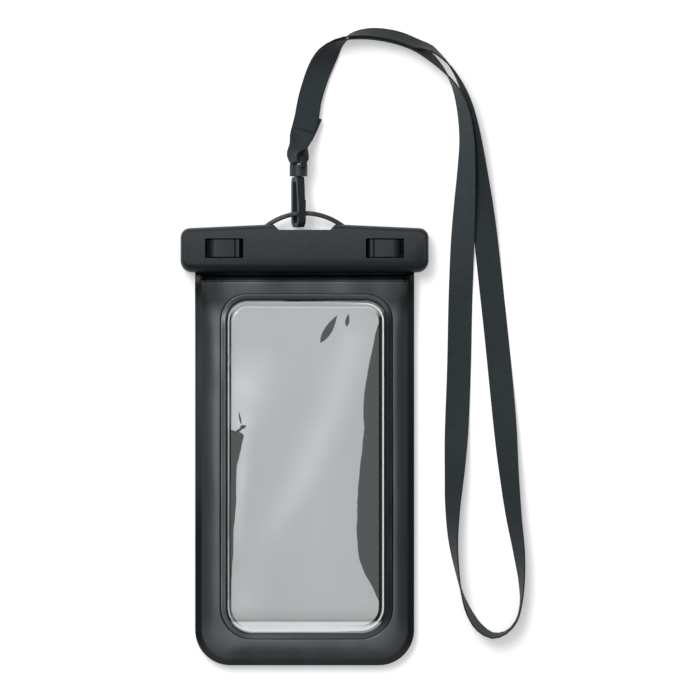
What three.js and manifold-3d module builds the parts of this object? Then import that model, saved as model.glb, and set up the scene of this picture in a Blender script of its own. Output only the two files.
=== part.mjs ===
// Waterproof phone pouch with a two-bar clamp, two flip locks and a webbing neck lanyard.
// Millimetres, +Z up. The pouch lies on its back: +Y points to the lanyard end, z = 0 is the surface it lies on.
// The origin is under the middle of the pouch and clamp, without the clasp and the lanyard.
import * as THREE from 'three';
import { mergeVertices } from 'three/addons/utils/BufferGeometryUtils.js';
import Module from 'manifold-3d';

const wasm = await Module();
wasm.setup();

// Clearances
const GAP = 0.3; // between neighbouring pieces that touch on the real product
const RUNNING_GAP = 0.1; // radial play of a pin or stem in its bore

// Clamp
const CLAMP_OVERHANG = 6.9; // past the pouch at each side
const CLAMP_HEIGHT = 22.8; // along Y at the middle
const CLAMP_THICKNESS = 14;
const CLAMP_END_DROP = 1.6; // how much lower the top edge is at the ends
const CLAMP_TOP_CORNER = 4.5;
const CLAMP_BOTTOM_CORNER = 5.4;
const FRONT_BOTTOM_BEVEL = 3.4;
const FRONT_TOP_BEVEL = 1.9;
const FRONT_END_BEVEL = 1.6;
const REAR_EDGE_BEVEL = 1.1;
const SEAM_BEVEL = 0.4; // small edge break where the bars meet
const SEAM_BEVEL_DEPTH = 0.5;
const FRONT_ROUNDING = 3.9; // depth from the face over which the front edges round off
const CORNER_STEPS = 6;

// Lanyard arch on the clamp
const ARCH_RISE = 6.6; // above the top edge
const ARCH_HALF_CHORD = 19.2;
const ARCH_BAR = 2.2; // radial
const ARCH_DEPTH = 2.6; // along Z
const ARCH_BEVEL = 0.45;
const NOTCH_HALF_FLOOR = 12.4;
const NOTCH_HALF_MOUTH = 15.6;
const NOTCH_DEPTH = 2.5; // below the top edge

// Flip locks
const LOCK_FROM_END = 21; // middle of each window from the clamp's end
const LOCK_ABOVE_BOTTOM = 11.5;
const LOCK_LENGTH = 18.3;
const LOCK_HEIGHT = 9.4;
const LOCK_PIN_R = 0.8;
const LOCK_PIN_SEAT = 1.8; // how deep each pin end sits in the front bar
const LOCK_PIN_INSET = 5.15; // pin axis from the outer end of the window
const LEVER_BOSS_R = 3.9;
const LEVER_CLAW_R = 4.8;
const LEVER_CLAW_FROM = 188; // degrees
const LEVER_CLAW_TO = 218;
const LEVER_ARM = 2.7; // thickness of the arm
const LEVER_FINGER_GAP = 1.5; // at the free end
const LEVER_SIDE_GAP = 0.6; // to the window's upper and lower walls
const LEVER_BELOW_FACE = 0.2;
const LEVER_GROOVE_BACK = 2.4; // groove from the free end
const LEVER_GROOVE_WIDTH = 0.7;
const LEVER_GROOVE_DEPTH = 0.6;
const LEVER_ROOF_HUMP = 0.25;
const CATCH_WIDTH = 6;
const CATCH_POST = 1.8;
const CATCH_LEDGE = 1.4; // ledge thickness
const CLAW_PLAY = 0.35;

// Pouch
const POUCH_LENGTH = 188.8; // from the clamp's lower edge to the bottom weld
const POUCH_WIDTH = 105.2;
const POUCH_CORNER = 17;
const MOUTH_CORNER = 1.2;
const MOUTH_DEPTH = 6.5; // how far the sheets run up inside the clamp
const SHEET = 0.5; // border sheet
const FILM = 0.45; // clear window film
const RIM_WIDTH = 2.6; // flat outer weld
const RIM_HEIGHT = 4.7; // middle of the weld above the table
const POUCH_FRONT = 9.4; // highest level of the border
const SIDE_BORDER = 11.2; // outline to the weld ring
const BOTTOM_BORDER = 12.6;
const TOP_BORDER = 10.5; // weld ring to the clamp's lower edge
const WINDOW_SHIFT = 0.9; // the window sits a little to the right
const RING_WIDTH = 3; // weld ring round the window
const RING_CORNER = 13;
const RING_RAISE = 0.25; // flat of the ring and the bead on its inner edge, above the border
const RING_LINE = 0.2; // pressed line round the outside of the ring
const RING_SLOPE = 0.5; // width of the slopes beside the lines
const RING_BEAD = 0.9; // inner line from the window's edge
const FILM_INSET = 0.4; // film edge inside the ring's outer line
const FRONT_BULGE = 0.5; // of the window film
const FRONT_RUN_OUT = 11; // over which the front sheet drops to the clamp
const REAR_RUN_OUT = 27;
const RIM_RUN_OUT = 36;
const RIB_BELOW_CLAMP = 2.7;
const RIB_HEIGHT_Y = 2;
const RIB_PROUD = 0.35;
const RIB_SIDE_MARGIN = 2.4;
const SIDE_STEPS = 9;
const END_STEPS = 5;
const POUCH_CORNER_STEPS = 6;

// Seal strips in the clamp
const SEAL_WIDTH = 3.4;
const SEAL_HEIGHT = 1.2;
const SEAL_RIDGE = 0.25;
const SEAL_ABOVE_BOTTOM = 3.9; // middle of the strip from the clamp's lower edge
const SEAL_END_MARGIN = 0.6; // inside the pouch's side edges

// Clasp: snap hook, swivel eye
const CLASP_X = -2.9;
const CLASP_ROLL = 20; // degrees about its long axis, as it lies
const HOOK_DEPTH = 11; // across the hook
const HOOK_BAR = 2.4;
const HOOK_THICKNESS = 3.6;
const HOOK_LENGTH = 24.2; // below the collar
const HOOK_BELOW_ARCH = 5.6; // hook end under the arch's inner edge
const HOOK_FLOOR = 1.9;
const HOOK_CHAMFER_WIDTH = 2.7;
const HOOK_CHAMFER_LENGTH = 3.4;
const NOSE_HEIGHT = 13.2;
const NOSE_LIP = 0.8;
const TONGUE = 1.5;
const TONGUE_SLIT = 0.4;
const HOOK_OVER_ARCH = 0.6; // play between the near bar and the arch
const COLLAR_R = 4.3;
const COLLAR_LENGTH = 5.4;
const STEM_R = 1.8;
const STEM_HEAD_R = 2.7;
const STEM_HEAD = 1.1;
const EYE_HALF_WIDTH = 8;
const EYE_THICKNESS = 3;
const EYE_CORNER = 1.8;
const EYE_SLOT_HEIGHT = 2.3;
const EYE_TOP_BAR = 2;
const EYE_SKIRT = 1.3; // how far the eye reaches down beside the collar

// Webbing lanyard
const WEBBING_WIDTH = 11.5;
const WEBBING_THICKNESS = 0.8;
const STRAND_PITCH = 1.35; // middle to middle where the two strands lie on each other

// Levels and places that follow from the sizes
const clampWidth = POUCH_WIDTH + 2 * CLAMP_OVERHANG;
const lockX = clampWidth / 2 - LOCK_FROM_END;
const totalLength = POUCH_LENGTH + CLAMP_HEIGHT + ARCH_RISE;
const pouchBottomY = -totalLength / 2;
const clampBottomY = pouchBottomY + POUCH_LENGTH;
const clampTopY = clampBottomY + CLAMP_HEIGHT;
const seamZ = CLAMP_THICKNESS / 2;
const frontBarZ = seamZ + GAP / 2;
const rearBarZ = seamZ - GAP / 2;
const mouthY = clampBottomY + MOUTH_DEPTH;
const lockY = clampBottomY + LOCK_ABOVE_BOTTOM;
const pinZ = CLAMP_THICKNESS - LEVER_BELOW_FACE - LEVER_BOSS_R;
const lockOuterX = lockX + LOCK_LENGTH / 2;
const pinX = lockOuterX - LOCK_PIN_INSET;
const leverLength = LOCK_LENGTH - LOCK_PIN_INSET - LEVER_FINGER_GAP;
const leverWidth = LOCK_HEIGHT - 2 * LEVER_SIDE_GAP;
const pinBoreR = LOCK_PIN_R + RUNNING_GAP;
const archOuterR = (ARCH_HALF_CHORD ** 2 + ARCH_RISE ** 2) / (2 * ARCH_RISE);
const archCentreY = clampTopY + ARCH_RISE - archOuterR;
const archZ = frontBarZ + GAP / 2;
const archTopZ = archZ + ARCH_DEPTH;
const filmTopInClamp = seamZ + GAP / 2 + SHEET;
const filmBottomInClamp = seamZ - GAP / 2 - SHEET;
const sealY = clampBottomY + SEAL_ABOVE_BOTTOM;
const sealHalfLength = POUCH_WIDTH / 2 - SEAL_END_MARGIN;

// Booleans
function toManifold(geometry) {
  const bare = geometry.clone();
  bare.deleteAttribute('normal');
  bare.deleteAttribute('uv');
  const merged = mergeVertices(bare, 1e-5);
  return new wasm.Manifold(new wasm.Mesh({
    numProp: 3,
    vertProperties: new Float32Array(merged.attributes.position.array),
    triVerts: new Uint32Array(merged.index.array),
  }));
}

function toGeometry(solid) {
  const mesh = solid.getMesh();
  const geometry = new THREE.BufferGeometry();
  geometry.setAttribute('position', new THREE.BufferAttribute(new Float32Array(mesh.vertProperties), 3));
  geometry.setIndex(new THREE.BufferAttribute(new Uint32Array(mesh.triVerts), 1));
  return geometry;
}

function combine(base, { add = [], subtract = [] }) {
  let solid = toManifold(base);
  for (const geometry of add) solid = solid.add(toManifold(geometry));
  for (const geometry of subtract) solid = solid.subtract(toManifold(geometry));
  return toGeometry(solid);
}

// Simple shapes
function boxBetween([x0, y0, z0], [x1, y1, z1]) {
  const box = new THREE.BoxGeometry(x1 - x0, y1 - y0, z1 - z0);
  return box.translate((x0 + x1) / 2, (y0 + y1) / 2, (z0 + z1) / 2);
}

// A profile drawn in X and Z, extruded along Y about the middle
function extrudeAlongY(shape, length, curveSegments = 8) {
  const solid = new THREE.ExtrudeGeometry(shape, { depth: length, bevelEnabled: false, curveSegments });
  return solid.rotateX(Math.PI / 2).translate(0, length / 2, 0);
}

// A profile drawn in Y and Z, extruded along X about the middle
function extrudeAlongX(shape, length) {
  const solid = new THREE.ExtrudeGeometry(shape, { depth: length, bevelEnabled: false });
  const turned = new THREE.Matrix4().makeBasis(
    new THREE.Vector3(0, 1, 0),
    new THREE.Vector3(0, 0, 1),
    new THREE.Vector3(1, 0, 0),
  );
  return solid.applyMatrix4(turned).translate(-length / 2, 0, 0);
}

function cylinderAlongY(radius, y0, y1, sides = 24) {
  return new THREE.CylinderGeometry(radius, radius, y1 - y0, sides).translate(0, (y0 + y1) / 2, 0);
}

function closedGeometry(positions, triangles) {
  const geometry = new THREE.BufferGeometry();
  geometry.setAttribute('position', new THREE.Float32BufferAttribute(positions.flat(), 3));
  geometry.setIndex(triangles.flat());
  return geometry;
}

// Quads between two loops of the same count; the loops run counter-clockwise seen from +Z
function band(triangles, lower, upper, count, flip = false) {
  for (let i = 0; i < count; i += 1) {
    const j = (i + 1) % count;
    const quad = [[lower + i, lower + j, upper + j], [lower + i, upper + j, upper + i]];
    for (const [a, b, c] of quad) triangles.push(flip ? [a, c, b] : [a, b, c]);
  }
}

// Clamp bars: an outline at each level, joined by bands and closed by flat caps
function barOutline({ end, bottom, top }) {
  const half = clampWidth / 2 - end;
  const low = clampBottomY + bottom;
  const high = clampTopY - top;
  const endHigh = high - CLAMP_END_DROP;
  const lowR = Math.max(CLAMP_BOTTOM_CORNER - (bottom + end) / 2, 0.6);
  const highR = Math.max(CLAMP_TOP_CORNER - (top + end) / 2, 0.6);
  const points = [];
  const corner = (x, y, r, from) => {
    for (let i = 0; i <= CORNER_STEPS; i += 1) {
      const a = THREE.MathUtils.degToRad(from + (90 * i) / CORNER_STEPS);
      points.push([x + r * Math.cos(a), y + r * Math.sin(a)]);
    }
  };
  corner(half - lowR, low + lowR, lowR, -90);
  corner(half - highR, endHigh - highR, highR, 0);
  points.push([ARCH_HALF_CHORD, high], [-ARCH_HALF_CHORD, high]);
  corner(-half + highR, endHigh - highR, highR, 90);
  corner(-half + lowR, low + lowR, lowR, 180);
  return points;
}

function stackedBar(levels) {
  const loops = levels.map((level) => barOutline(level).map(([x, y]) => [x, y, level.z]));
  const count = loops[0].length;
  const triangles = [];
  for (let k = 0; k + 1 < loops.length; k += 1) band(triangles, k * count, (k + 1) * count, count);
  const cap = (loop, start, flip) => {
    const flat = loop.map(([x, y]) => new THREE.Vector2(x, y));
    for (const [a, b, c] of THREE.ShapeUtils.triangulateShape(flat, [])) {
      triangles.push(flip ? [start + a, start + c, start + b] : [start + a, start + b, start + c]);
    }
  };
  cap(loops[0], 0, true);
  cap(loops[loops.length - 1], (loops.length - 1) * count, false);
  return closedGeometry(loops.flat(), triangles);
}

// Levels of a bar: how far its ends, bottom and top draw back at a height
const seamEdge = (z) => ({ z, end: SEAM_BEVEL, bottom: SEAM_BEVEL, top: SEAM_BEVEL });
const squareEdge = (z) => ({ z, end: 0, bottom: 0, top: 0 });
const frontEdge = (depth, end, bottom, top) => ({
  z: CLAMP_THICKNESS - FRONT_ROUNDING * depth,
  end: FRONT_END_BEVEL * end,
  bottom: FRONT_BOTTOM_BEVEL * bottom,
  top: FRONT_TOP_BEVEL * top,
});

function archNotch() {
  const shape = new THREE.Shape([
    new THREE.Vector2(-NOTCH_HALF_FLOOR, clampTopY - NOTCH_DEPTH),
    new THREE.Vector2(NOTCH_HALF_FLOOR, clampTopY - NOTCH_DEPTH),
    new THREE.Vector2(NOTCH_HALF_MOUTH, clampTopY + 1),
    new THREE.Vector2(-NOTCH_HALF_MOUTH, clampTopY + 1),
  ]);
  const solid = new THREE.ExtrudeGeometry(shape, { depth: CLAMP_THICKNESS + 2, bevelEnabled: false });
  return solid.translate(0, 0, -1);
}

function archLoop() {
  const rootAngle = Math.acos((ARCH_HALF_CHORD + 0.6) / archOuterR);
  const outer = archOuterR - ARCH_BEVEL;
  const inner = archOuterR - ARCH_BAR + ARCH_BEVEL;
  const shape = new THREE.Shape();
  shape.absarc(0, 0, outer, rootAngle, Math.PI - rootAngle, false);
  shape.absarc(0, 0, inner, Math.PI - rootAngle, rootAngle, true);
  const solid = new THREE.ExtrudeGeometry(shape, {
    depth: ARCH_DEPTH - 2 * ARCH_BEVEL,
    bevelSize: ARCH_BEVEL,
    bevelThickness: ARCH_BEVEL,
    bevelSegments: 2,
    curveSegments: 24,
  });
  return solid.translate(0, archCentreY, archZ + ARCH_BEVEL);
}

// Room for the pouch's mouth between the bars, on one side of the seam
function mouthPocket(z0, z1) {
  const half = POUCH_WIDTH / 2 + 1.2;
  return boxBetween([-half, clampBottomY - 1, z0], [half, mouthY + GAP, z1]);
}

function sealChannel(z0, z1) {
  const half = sealHalfLength + GAP;
  const reach = SEAL_WIDTH / 2 + GAP;
  return boxBetween([-half, sealY - reach, z0], [half, sealY + reach, z1]);
}

const catchLedgeZ = pinZ - LEVER_CLAW_R * Math.sin(THREE.MathUtils.degToRad(LEVER_CLAW_FROM - 180)) + CLAW_PLAY;
const catchPostInnerX = pinX + LEVER_CLAW_R + CLAW_PLAY;
const catchLedgeInnerX = pinX + LEVER_BOSS_R + GAP;
const catchTopZ = catchLedgeZ + CATCH_LEDGE;
const recessFloorZ = pinZ - LEVER_CLAW_R - GAP;

function frontClampBar() {
  const body = stackedBar([
    seamEdge(frontBarZ),
    squareEdge(frontBarZ + SEAM_BEVEL_DEPTH),
    frontEdge(1, 0, 0, 0),
    frontEdge(0.49, 0.2, 0.25, 0.15),
    frontEdge(0.15, 0.6, 0.68, 0.6),
    frontEdge(0, 1, 1, 1),
  ]);
  const cuts = [
    archNotch(),
    mouthPocket(0, filmTopInClamp + GAP),
    sealChannel(0, filmTopInClamp + GAP + SEAL_HEIGHT + GAP),
  ];
  for (const side of [-1, 1]) {
    const windowCut = boxBetween(
      [lockX - LOCK_LENGTH / 2, lockY - LOCK_HEIGHT / 2, 0],
      [lockOuterX, lockY + LOCK_HEIGHT / 2, CLAMP_THICKNESS + 1],
    );
    const catchRoom = boxBetween(
      [lockOuterX - 1, lockY - CATCH_WIDTH / 2 - GAP, 0],
      [catchPostInnerX + CATCH_POST + GAP, lockY + CATCH_WIDTH / 2 + GAP, catchTopZ + GAP],
    );
    const boreHalf = LOCK_HEIGHT / 2 + LOCK_PIN_SEAT + GAP;
    const pinBore = cylinderAlongY(pinBoreR, lockY - boreHalf, lockY + boreHalf).translate(pinX, 0, pinZ);
    for (const cut of [windowCut, catchRoom, pinBore]) cuts.push(mirrored(cut, side));
  }
  const notched = combine(body, { subtract: cuts });
  return combine(notched, { add: [archLoop()] });
}

// A copy of a right-hand shape for one side; the left one is its mirror image
function mirrored(geometry, side) {
  if (side > 0) return geometry;
  const copy = geometry.clone().scale(-1, 1, 1);
  const index = copy.index ? Array.from(copy.index.array) : [...Array(copy.attributes.position.count).keys()];
  for (let i = 0; i < index.length; i += 3) [index[i + 1], index[i + 2]] = [index[i + 2], index[i + 1]];
  copy.setIndex(index);
  return copy;
}

function rearClampBar() {
  const rearEase = REAR_EDGE_BEVEL * 0.3;
  const body = stackedBar([
    { z: 0, end: REAR_EDGE_BEVEL, bottom: REAR_EDGE_BEVEL, top: REAR_EDGE_BEVEL },
    { z: REAR_EDGE_BEVEL * 0.45, end: rearEase, bottom: rearEase, top: rearEase },
    squareEdge(REAR_EDGE_BEVEL),
    squareEdge(rearBarZ - SEAM_BEVEL_DEPTH),
    seamEdge(rearBarZ),
  ]);
  const cuts = [
    archNotch(),
    mouthPocket(filmBottomInClamp - GAP, CLAMP_THICKNESS),
    sealChannel(filmBottomInClamp - GAP - SEAL_HEIGHT - GAP, CLAMP_THICKNESS),
  ];
  const catches = [];
  for (const side of [-1, 1]) {
    const recess = boxBetween(
      [pinX - LEVER_CLAW_R, lockY - LOCK_HEIGHT / 2 - GAP, recessFloorZ],
      [catchPostInnerX, lockY + LOCK_HEIGHT / 2 + GAP, CLAMP_THICKNESS],
    );
    cuts.push(mirrored(recess, side));
    catches.push(mirrored(lockCatch(), side));
  }
  const cut = combine(body, { subtract: cuts });
  return combine(cut, { add: catches });
}

// Post with an inward ledge that the lever's claw holds down
function lockCatch() {
  const foot = rearBarZ - 1.5;
  const outer = catchPostInnerX + CATCH_POST;
  const profile = new THREE.Shape([
    new THREE.Vector2(catchPostInnerX, foot),
    new THREE.Vector2(outer, foot),
    new THREE.Vector2(outer, catchTopZ - 0.5),
    new THREE.Vector2(outer - 0.5, catchTopZ),
    new THREE.Vector2(catchLedgeInnerX + 0.3, catchTopZ),
    new THREE.Vector2(catchLedgeInnerX, catchTopZ - 0.3),
    new THREE.Vector2(catchLedgeInnerX, catchLedgeZ),
    new THREE.Vector2(catchPostInnerX, catchLedgeZ),
  ]);
  return extrudeAlongY(profile, CATCH_WIDTH).translate(0, lockY, 0);
}

// Lever of the right-hand lock: boss round the pin, claw on the outer side, arm to the free inner end
function lockLever() {
  const onCircle = (r, degrees) => {
    const a = THREE.MathUtils.degToRad(degrees);
    return new THREE.Vector2(-r * Math.cos(a), r * Math.sin(a));
  };
  const roof = LEVER_BOSS_R;
  const under = roof - LEVER_ARM;
  const grooveX = leverLength - LEVER_GROOVE_BACK;
  const points = [];
  for (let i = 0; i <= 6; i += 1) {
    const t = i / 6;
    points.push(new THREE.Vector2(-(grooveX - LEVER_GROOVE_WIDTH / 2) * (1 - t), roof - LEVER_ROOF_HUMP * (1 - t) ** 2));
  }
  for (let a = 100; a <= 180; a += 10) points.push(onCircle(LEVER_BOSS_R, a));
  points.push(onCircle(LEVER_BOSS_R, LEVER_CLAW_FROM));
  for (let a = LEVER_CLAW_FROM; a <= LEVER_CLAW_TO; a += 10) points.push(onCircle(LEVER_CLAW_R, a));
  for (let a = LEVER_CLAW_TO + 6; a <= 378; a += 14) points.push(onCircle(LEVER_BOSS_R, a));
  points.push(new THREE.Vector2(-(leverLength - 0.6), under));
  points.push(new THREE.Vector2(-leverLength, under + 0.6));
  points.push(new THREE.Vector2(-leverLength, roof - LEVER_ROOF_HUMP - 0.7));
  points.push(new THREE.Vector2(-(leverLength - 0.6), roof - LEVER_ROOF_HUMP));
  points.push(new THREE.Vector2(-(grooveX + LEVER_GROOVE_WIDTH / 2), roof - LEVER_ROOF_HUMP));
  points.push(new THREE.Vector2(-grooveX, roof - LEVER_ROOF_HUMP - LEVER_GROOVE_DEPTH));
  const body = extrudeAlongY(new THREE.Shape(points), leverWidth);
  const bore = cylinderAlongY(pinBoreR, -leverWidth, leverWidth);
  return combine(body, { subtract: [bore] }).translate(pinX, lockY, pinZ);
}

function lockPin() {
  const half = LOCK_HEIGHT / 2 + LOCK_PIN_SEAT;
  return cylinderAlongY(LOCK_PIN_R, lockY - half, lockY + half, 16).translate(pinX, 0, pinZ);
}

function sealStrip(facing) {
  const back = facing > 0 ? filmTopInClamp + GAP + SEAL_HEIGHT : filmBottomInClamp - GAP - SEAL_HEIGHT;
  const face = back - facing * SEAL_HEIGHT;
  const shoulder = face + facing * SEAL_RIDGE;
  const half = SEAL_WIDTH / 2;
  const profile = new THREE.Shape([
    new THREE.Vector2(-half, back),
    new THREE.Vector2(half, back),
    new THREE.Vector2(half, shoulder),
    new THREE.Vector2(half * 0.55, face),
    new THREE.Vector2(half * 0.2, shoulder),
    new THREE.Vector2(-half * 0.2, shoulder),
    new THREE.Vector2(-half * 0.55, face),
    new THREE.Vector2(-half, shoulder),
  ]);
  return extrudeAlongX(profile, 2 * sealHalfLength).translate(0, sealY, 0);
}

// Pouch sheets: loops round rounded rectangles, from the outline inwards, lifted by a height rule
function roundedLoop({ left, right, bottom, top, lowR, highR }) {
  const points = [];
  const corner = (x, y, r, from) => {
    for (let i = 0; i <= POUCH_CORNER_STEPS; i += 1) {
      const a = THREE.MathUtils.degToRad(from + (90 * i) / POUCH_CORNER_STEPS);
      points.push([x + r * Math.cos(a), y + r * Math.sin(a)]);
    }
  };
  const side = (x0, y0, x1, y1, steps) => {
    for (let i = 1; i < steps; i += 1) {
      points.push([THREE.MathUtils.lerp(x0, x1, i / steps), THREE.MathUtils.lerp(y0, y1, i / steps)]);
    }
  };
  corner(right - lowR, bottom + lowR, lowR, -90);
  side(right, bottom + lowR, right, top - highR, SIDE_STEPS);
  corner(right - highR, top - highR, highR, 0);
  side(right - highR, top, left + highR, top, END_STEPS);
  corner(left + highR, top - highR, highR, 90);
  side(left, top - highR, left, bottom + lowR, SIDE_STEPS);
  corner(left + lowR, bottom + lowR, lowR, 180);
  side(left + lowR, bottom, right - lowR, bottom, END_STEPS);
  return points;
}

const outline = {
  left: -POUCH_WIDTH / 2,
  right: POUCH_WIDTH / 2,
  bottom: pouchBottomY,
  top: mouthY,
  lowR: POUCH_CORNER,
  highR: MOUTH_CORNER,
};
const weldRing = {
  left: outline.left + SIDE_BORDER + WINDOW_SHIFT,
  right: outline.right - SIDE_BORDER + WINDOW_SHIFT,
  bottom: pouchBottomY + BOTTOM_BORDER,
  top: clampBottomY - TOP_BORDER,
  lowR: RING_CORNER,
  highR: RING_CORNER,
};

function inset(rectangle, by) {
  return {
    left: rectangle.left + by,
    right: rectangle.right - by,
    bottom: rectangle.bottom + by,
    top: rectangle.top - by,
    lowR: Math.max(rectangle.lowR - by, 0.4),
    highR: Math.max(rectangle.highR - by, 0.4),
  };
}

function blend(from, to, t) {
  const mixed = {};
  for (const key of Object.keys(from)) mixed[key] = THREE.MathUtils.lerp(from[key], to[key], t);
  return mixed;
}

// Middle of the outer weld: low along the pouch, rising to the clamp's seam
function weldLevel(y) {
  const rise = THREE.MathUtils.smoothstep(y, clampBottomY - RIM_RUN_OUT, clampBottomY - 0.5);
  return THREE.MathUtils.lerp(RIM_HEIGHT, seamZ, rise);
}

// Outer surface of the front or rear sheet; fullness is 0 at the weld rim and 1 at the weld ring
function frontLevel(y, fullness) {
  const rim = weldLevel(y) + GAP / 2 + SHEET;
  const open = 1 - THREE.MathUtils.smoothstep(y, clampBottomY - FRONT_RUN_OUT, clampBottomY - 0.5);
  return rim + (POUCH_FRONT - rim) * fullness * open;
}

function rearLevel(y, fullness) {
  const rim = weldLevel(y) - GAP / 2 - SHEET;
  const open = 1 - THREE.MathUtils.smoothstep(y, clampBottomY - REAR_RUN_OUT, clampBottomY - 0.5);
  return rim - rim * fullness * open;
}

// The border's loops with their fullness and how far they stand out from that level
const puffedLoops = [
  [outline, 0, 0],
  [inset(outline, RIM_WIDTH), 0, 0],
  ...[0.12, 0.3, 0.55, 0.8, 0.95].map((t) => (
    [blend(inset(outline, RIM_WIDTH), weldRing, t), 1 - (1 - t) ** 2.2, 0]
  )),
  [weldRing, 1, -RING_LINE],
];
const frontLoops = [
  ...puffedLoops,
  [inset(weldRing, RING_SLOPE), 1, RING_RAISE],
  [inset(weldRing, RING_WIDTH - RING_BEAD - RING_SLOPE / 2), 1, RING_RAISE],
  [inset(weldRing, RING_WIDTH - RING_BEAD), 1, 0],
  [inset(weldRing, RING_WIDTH - RING_BEAD + RING_SLOPE / 2), 1, RING_RAISE],
  [inset(weldRing, RING_WIDTH), 1, RING_RAISE],
];
const rearLoops = [
  ...puffedLoops,
  [inset(weldRing, RING_SLOPE), 1, 0],
  [inset(weldRing, RING_WIDTH), 1, 0],
];

// A closed sheet from loops of [x, y, z] on its upper side, with an open or closed middle
function sheetFromLoops(loops, thickness, closedMiddle) {
  const count = loops[0].length;
  const under = loops.map((loop) => loop.map(([x, y, z]) => [x, y, z - thickness]));
  const positions = [...loops.flat(), ...under.flat()];
  const underStart = loops.length * count;
  const triangles = [];
  for (let k = 0; k + 1 < loops.length; k += 1) {
    band(triangles, k * count, (k + 1) * count, count);
    band(triangles, underStart + k * count, underStart + (k + 1) * count, count, true);
  }
  band(triangles, underStart, 0, count);
  const inner = (loops.length - 1) * count;
  if (!closedMiddle) {
    band(triangles, underStart + inner, inner, count, true);
    return closedGeometry(positions, triangles);
  }
  const lastLoop = loops[loops.length - 1];
  const middle = lastLoop.reduce((sum, p) => sum.map((s, axis) => s + p[axis] / count), [0, 0, 0]);
  const topCentre = positions.push(middle) - 1;
  const lowCentre = positions.push([middle[0], middle[1], middle[2] - thickness]) - 1;
  for (let i = 0; i < count; i += 1) {
    const j = (i + 1) % count;
    triangles.push([inner + i, inner + j, topCentre]);
    triangles.push([underStart + inner + j, underStart + inner + i, lowCentre]);
  }
  return closedGeometry(positions, triangles);
}

function borderSheet(borderLoops, levelAt) {
  const loops = borderLoops.map(([rectangle, fullness, proud]) => (
    roundedLoop(rectangle).map(([x, y]) => [x, y, levelAt(y, fullness, proud)])
  ));
  return sheetFromLoops(loops, SHEET, false);
}

function frontFrameSheet() {
  const sheet = borderSheet(frontLoops, (y, fullness, proud) => frontLevel(y, fullness) + proud);
  const ribTop = clampBottomY - RIB_BELOW_CLAMP;
  const half = POUCH_WIDTH / 2 - RIB_SIDE_MARGIN;
  const low = frontLevel(ribTop - RIB_HEIGHT_Y, 1);
  const high = frontLevel(ribTop, 1);
  const rib = new THREE.Shape([
    new THREE.Vector2(ribTop - RIB_HEIGHT_Y, low - SHEET * 0.6),
    new THREE.Vector2(ribTop, high - SHEET * 0.6),
    new THREE.Vector2(ribTop - 0.3, high + RIB_PROUD),
    new THREE.Vector2(ribTop - RIB_HEIGHT_Y + 0.3, low + RIB_PROUD),
  ]);
  return combine(sheet, { add: [extrudeAlongX(rib, 2 * half - RIM_WIDTH)] });
}

const rearFrameSheet = () => (
  borderSheet(rearLoops, (y, fullness, proud) => rearLevel(y, fullness) + SHEET - proud)
);

// Clear film welded behind the border's ring
function windowFilm(topAt, bulge) {
  const edge = inset(weldRing, FILM_INSET);
  const core = inset(weldRing, (weldRing.right - weldRing.left) / 2 - 6);
  const shares = [0, 0.09, 0.25, 0.5, 0.8, 1];
  const loops = shares.map((share) => {
    const rise = bulge * Math.sin((Math.max(share - 0.09, 0) / 0.91) * Math.PI / 2);
    return roundedLoop(blend(edge, core, share)).map(([x, y]) => [x, y, topAt(y) + rise]);
  });
  return sheetFromLoops(loops, FILM, true);
}

const frontWindowFilm = () => windowFilm((y) => frontLevel(y, 1) - SHEET - GAP, FRONT_BULGE);
const rearWindowFilm = () => windowFilm((y) => rearLevel(y, 1) + SHEET + GAP + FILM, 0);

// Clasp, drawn in its own frame: x across the hook towards the near side, y along it, z through it
const hookEndY = clampTopY + ARCH_RISE - ARCH_BAR - HOOK_BELOW_ARCH;
const hookInner = HOOK_DEPTH / 2 - HOOK_BAR;
const rollAngle = THREE.MathUtils.degToRad(CLASP_ROLL);
const nearBarUnderside = hookInner * Math.cos(rollAngle) - (HOOK_THICKNESS / 2) * Math.sin(rollAngle);
const claspZ = archTopZ + HOOK_OVER_ARCH - nearBarUnderside;
const collarLowY = HOOK_LENGTH + GAP;
const collarHighY = collarLowY + COLLAR_LENGTH;
const boreR = STEM_R + RUNNING_GAP;
const headSeatY = collarHighY - STEM_HEAD - 0.6;

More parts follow.
